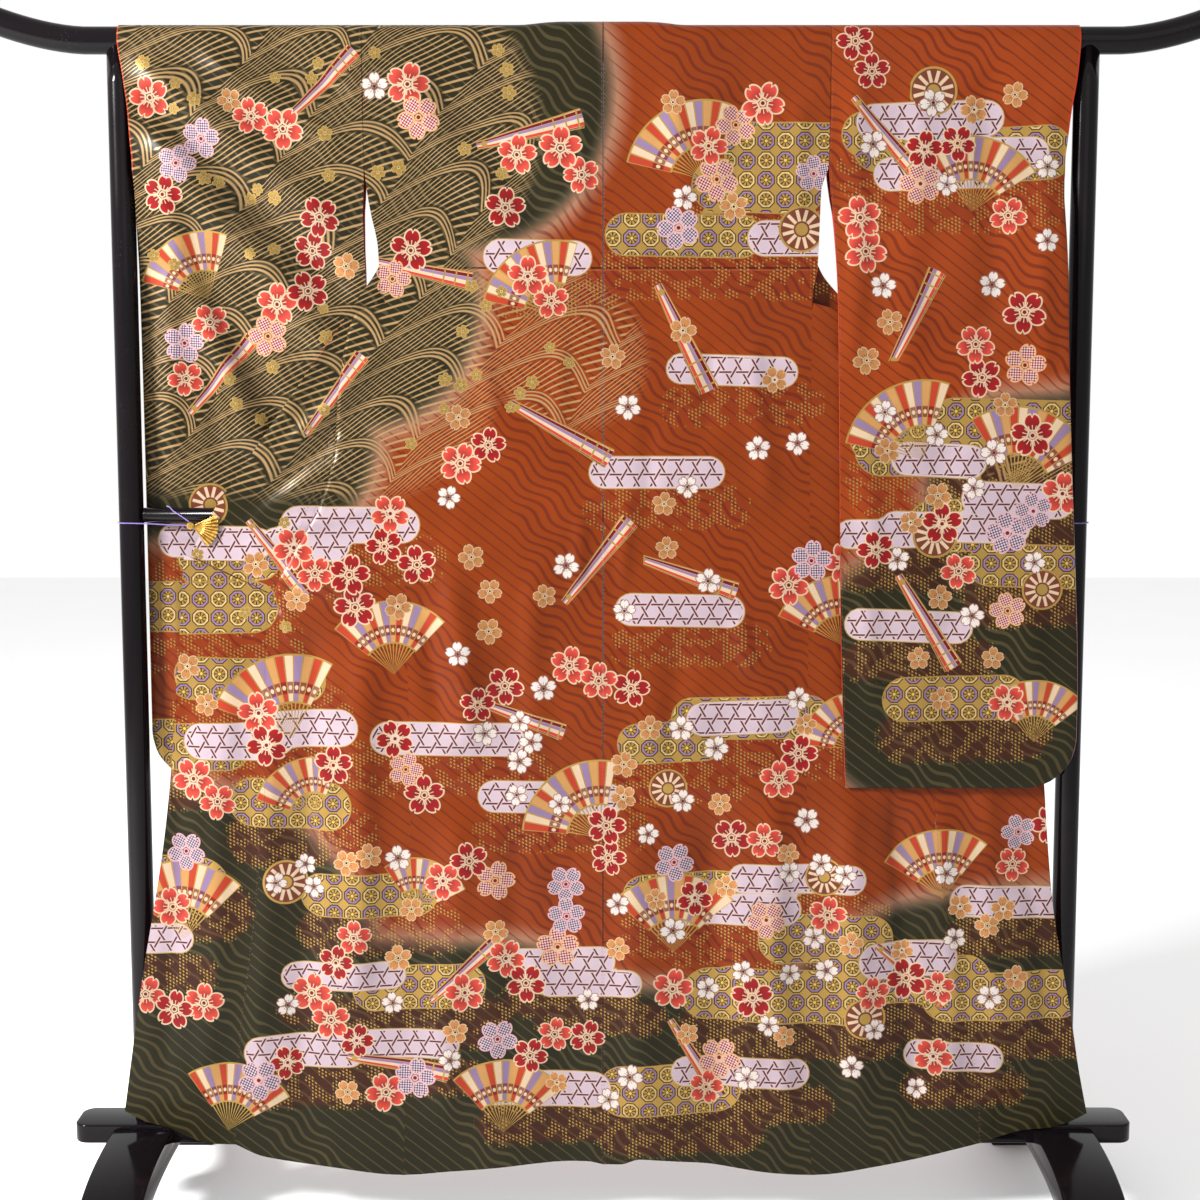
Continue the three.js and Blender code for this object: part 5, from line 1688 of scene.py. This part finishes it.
def paint_ground(paint):
    """Moss green banks that fade into the orange, with the lines that are woven in."""
    ground = paint.attribute("ground")
    green = ground.above(0, 13)
    paint.coat(MOSS, green)
    paint.coat(BANK_RIM, ground.near(-4, 1, 26) * 0.5)
    a, b = paint.uv("weave")
    sine, cosine = 1000 * math.sin(WOVEN_SLANT), 1000 * math.cos(WOVEN_SLANT)
    diagonal, along = a * sine + b * cosine, a * cosine - b * sine
    belt = (along * 0.6 + diagonal + (diagonal / 75).sine() * 30) / BELT_PITCH
    flowing = belt.part().near(0.5, 0.22, 0.07)
    swell = (along / 11 + (diagonal / 34).sine() * 1.5).sine() * 5 * flowing
    woven = (((diagonal + swell) / WOVEN_PITCH).part() - 0.5).size() - flowing * 0.09
    jacquard = woven.below(0.075, 0.035)
    paint.coat(WOVEN_RED, jacquard * (green * -0.6 + 0.62))
    paint.coat(WOVEN_GREEN, jacquard * green * 0.4)
    paint.gold = jacquard * -0.35  # the woven lines shine less
    x, z = in_millimetres(paint)
    across_back = x.size().below(BACK_REACH, 1)
    # The tuck is only painted: a painted highlight just below it and a line of painted shade along it.
    paint.coat(TUCK_PAINTED_HIGHLIGHT, z.near(TUCK_Z - 3, 0.8, 0.7) * across_back * 0.3)
    paint.coat(TUCK_PAINTED_SHADE, z.near(TUCK_Z, 1.2, 0.6) * across_back * 0.9)
    # Painted shade along the centre seam, where the two halves meet.
    paint.coat(CENTRE_SEAM_PAINTED_SHADE, x.size().below(CENTRE_SEAM_HALF, 0.8) * 0.7)
    paint.coat(PIPING_RED, paint.attribute("from_edge").below(PIPING, 0.3))


COATS = {
    "ground": group_of_coats(paint_ground),
    "sea": group_of_coats(paint_sea),
    "areas": group_of_coats(paint_areas),
    "fans": group_of_coats(paint_fans),
    **{name: group_of_coats(paint_blossoms, name) for name in BLOSSOM_MAPS},
}
SATINS = {
    "plain ground": [],
    "sea": ["sea"],
    "blossoms": BLOSSOM_MAPS,
    "all motifs": ["sea", "areas", "fans", *BLOSSOM_MAPS],
}


# How bright the satin is, how much that and its roughness vary, and what gold leaf changes.
SATIN = {"least_shade": 0.285, "shade_varies": 0.2, "roughness": 0.29, "roughness_varies": 0.12}
LEAF = {"metal": 0.75, "smoother": -0.12}


def dyed_satin(name, orange, coats):
    """Satin with only those motifs that its faces have, so that it is quick to draw."""
    paint = Paint(name, orange)
    for coat in ["ground", *coats]:
        paint.through(COATS[coat])
    place = paint.vector(*paint.uv("design"))
    uneven = paint.noise(9, place, 3)
    paint.shade(uneven * SATIN["shade_varies"] + SATIN["least_shade"])
    rough = paint.gold * LEAF["smoother"] + uneven * SATIN["roughness_varies"] + SATIN["roughness"]
    paint.set(Metallic=paint.gold * LEAF["metal"], Roughness=rough)
    paint.set(Sheen_Weight=0.02, Sheen_Roughness=0.4, Specular_IOR_Level=0.11)
    return paint.done(paint.noise(16, place, 2), 0.002)


THREADS_TURN = 5200  # radians in a metre of the lining's weave


def lining_silk():
    paint = Paint("lining silk", tone(146, 30, 16))
    place = paint.object_place()
    x, _, z = paint.parts(place)
    weave = (x * THREADS_TURN).sine() * (z * THREADS_TURN).sine()
    paint.coat(tone(160, 60, 36), paint.noise(11, place, 3) * 0.5)
    paint.shade(paint.noise(60, place, 2) * 0.16 + 0.92)
    paint.set(Roughness=paint.noise(24, place, 2) * 0.18 + 0.42)
    paint.set(Sheen_Weight=0.06, Sheen_Roughness=0.4, Specular_IOR_Level=0.2)
    return paint.done(weave * 0.2 + paint.noise(30, place, 2), 0.0006)


def black_lacquer():
    paint = Paint("black lacquer", tone(5, 4, 6))
    place = paint.object_place()
    dust = paint.texture("Voronoi", 420, place).outputs["Distance"]
    specks = Flow(paint.tree, dust).below(0.09, 0.03) * paint.noise(9, place, 2).above(0.55, 0.06)
    paint.coat(tone(24, 17, 18), paint.noise(5, place, 3) * 0.35)
    paint.coat(tone(120, 116, 112), specks * 0.5)
    rubbed = paint.noise(7, place, 4).above(0.5, 0.16)
    paint.set(Roughness=rubbed * 0.1 + specks * 0.4 + 0.1)
    paint.set(Coat_Weight=0.07, Coat_Roughness=0.04, Specular_IOR_Level=0.08)
    return paint.done(paint.noise(3, place, 1) + paint.noise(120, place, 2) * 0.02, 0.0008)


def gilt_metal():
    paint = Paint("gilt metal", tone(168, 132, 62))
    place = paint.object_place()
    worn = paint.noise(140, place, 4)
    paint.coat(tone(104, 74, 34), worn.above(0.56, 0.1) * 0.6)
    paint.coat(tone(206, 178, 112), worn.below(0.42, 0.08) * 0.4)
    paint.set(Roughness=paint.noise(260, place, 3) * 0.3 + 0.18)
    paint.set(Metallic=0.95)
    return paint.done(paint.noise(900, place, 3), 0.0003)


def purple_cord():
    paint = Paint("purple cord", tone(78, 48, 124))
    place = paint.object_place()
    fibres = paint.noise(1400, place, 3)
    paint.coat(tone(128, 96, 170), fibres.above(0.55, 0.1) * 0.6)
    paint.coat(tone(44, 26, 80), fibres.below(0.42, 0.1) * 0.6)
    paint.set(Roughness=fibres * 0.2 + 0.6)
    paint.set(Sheen_Weight=0.4)
    return paint.done(fibres, 0.0004)


def sewing_thread():
    paint = Paint("sewing thread", tone(84, 34, 16))
    place = paint.object_place()
    fibres = paint.noise(1800, place, 2)
    paint.coat(tone(112, 54, 30), fibres.above(0.55, 0.1) * 0.6)
    paint.set(Roughness=fibres * 0.3 + 0.45)
    paint.set(Sheen_Weight=0.2)
    return paint.done(fibres, 0.0002)


def pale_floor():
    paint = Paint("pale floor", (0.86, 0.86, 0.86))
    place = paint.object_place()
    paint.shade(paint.noise(2, place, 2) * 0.03 + 0.985)
    paint.set(Roughness=0.8)
    return paint.done()


ORANGES = {"garment": ORANGE, "sleeve": SLEEVE_ORANGE}
satin = {
    zone: [dyed_satin(f"dyed satin, {kind}, {zone}", orange, coats) for kind, coats in SATINS.items()]
    for zone, orange in ORANGES.items()
}
lining, lacquer, gold = lining_silk(), black_lacquer(), gilt_metal()
purple, thread = purple_cord(), sewing_thread()


def finish(piece, node, material=None):
    """Gives a piece its material, if it has none yet, and lets it stand for its node."""
    if material is not None:
        piece.data.materials.append(material)
    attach(piece, "root")
    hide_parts(node)
    return piece


# ---------- the strings: cords first ----------

STRING_RADIUS = 0.8
STRING_STEP = 1.0
STRING_SIDES = 12
PLY = {"least": 0.86, "proud": 0.14, "turn": 0.7}
STRINGS = {
    "post": [
        (575.3, -21.5, 999), (600, -21, 1000), (632, -20, 1001.5), (657, -18.4, 1002), (669, -14, 1002),
        (675.4, -3, 1002), (673, 9, 1002), (665, 16.6, 1002),
    ],
    "rail": [(572.4, -21.5, 1004.4), (584, -18.5, 1012), (596, -13, 1019), (603, -6, 1024), (608, 3, 1024.6)],
}  # fmt: skip


def string_mesh(side, name):
    """A two-ply cord laid round the points of its route, and those points."""
    route = np.array([(SIDES[side] * out, y, z) for out, y, z in STRINGS[name]], float)
    spans = np.concatenate([[0], np.cumsum(np.linalg.norm(np.diff(route, axis=0), axis=1))])
    line = smooth_curve(spans, route, np.linspace(0, spans[-1], int(spans[-1] / STRING_STEP)))
    along = unit(np.gradient(line, axis=0))
    across = unit(np.cross(along, (0, 0, 1)))
    up = np.cross(across, along)
    angle = np.linspace(0, 2 * math.pi, STRING_SIDES, endpoint=False)
    rings = []
    for i, centre in enumerate(line):
        radius = STRING_RADIUS * (PLY["least"] + PLY["proud"] * np.abs(np.cos(angle - i * PLY["turn"])))
        sideways = np.outer(radius * np.cos(angle), across[i])
        rings.append(centre + sideways + np.outer(radius * np.sin(angle), up[i]))
    return loft(f"tie_string_{name}_{side}", rings), line


for side in SIDES:
    for name in STRINGS:
        mesh, line = string_mesh(side, name)
        string = finish(make_object(mesh.name, mesh), f"string_{name}_{side}", purple)
        length = float(np.linalg.norm(np.diff(line, axis=0), axis=1).sum()) * M
        tuple(line[0] * M)
        [tuple(p * M) for p in line]  # fmt: skip

# ---------- the garment ----------

stitches = stitch_tree()


def hang_cloth(name, node, patches, zone="garment"):
    """One piece of the garment with its seam stitches."""
    shell, seam = cloth_shell(name, patches, [*satin[zone], lining])
    piece = finish(shell, node)
    sewn = stitched(f"stitches_of_{name}", seam, stitches, thread)
    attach(sewn, "root")


for side in SIDES:
    hang_cloth(f"body_length_{side}", f"body_{side}", body_patches(side))
    hang_cloth(f"overlap_{side}_panel", f"overlap_{side}", overlap_patches(side))
    zone = "sleeve" if side == "right" else "garment"
    hang_cloth(f"long_sleeve_{side}", f"sleeve_{side}", sleeve_patches(side), zone)
hang_cloth("wide_collar", "collar", collar_patches())

# ---------- the stand ----------


def make_board():
    sizes = BOARD["bottom"], BOARD["top"]
    return prism("lacquered_bottom_board", board_outline(), *sizes, lambda x, y, z: (x, y, z))


def make_foot(side):
    sign, inner, outer = SIDES[side], FOOT["x"] - FOOT["width"] / 2, FOOT["x"] + FOOT["width"] / 2

    def placed(y, z, out):
        return sign * out, sign * y, z

    return prism(f"arched_foot_{side}", foot_outline(), inner, outer, placed)


finish(make_object("lacquered_top_bar", top_bar_mesh()), "top_bar", lacquer)
finish(make_object("lacquered_middle_rail", rail_mesh()), "middle_rail", lacquer)
finish(make_board(), "bottom_board", lacquer)
for side in SIDES:
    finish(make_object(f"lacquered_post_{side}", post_mesh(side)), f"post_{side}", lacquer)
    finish(make_foot(side), f"foot_{side}", lacquer)
    finish(make_object(f"gilt_fan_clip_{side}", clip_mesh(side)), f"clip_{side}", gold)

# ---------- the studio ----------

FLOOR_HALF = 9000

# Each light's name, place, target, size and power, in metres and watts.
LIGHTS = [
    ("key from the left", (-3.0, -2.0, 2.5), (0, 0, 0.9), 0.7, 480),
    ("soft front", (0.9, -3.6, 2.6), (0, 0, 0.8), 2.4, 14),
]


def make_studio():
    corners = [(x * FLOOR_HALF, y * FLOOR_HALF, 0) for x, y in ((-1, -1), (1, -1), (1, 1), (-1, 1))]
    floor = make_object("floor", make_mesh("floor", corners, [[0, 1, 2, 3]]))
    floor.data.materials.append(pale_floor())
    world = bpy.data.worlds.new("studio")
    world.use_nodes = True
    background = world.node_tree.nodes["Background"]
    background.inputs["Color"].default_value = (1, 1, 1, 1)
    background.inputs["Strength"].default_value = 1.0
    bpy.context.scene.world = world
    bpy.context.scene.view_settings.view_transform = "Standard"
    for name, place, target, size, power in LIGHTS:
        light = bpy.data.lights.new(name, "AREA")
        light.size, light.energy = size, power
        lamp = bpy.data.objects.new(name, light)
        lamp.location = place
        lamp.rotation_euler = (Vector(target) - Vector(place)).to_track_quat("-Z", "Y").to_euler()
        bpy.context.collection.objects.link(lamp)


make_studio()
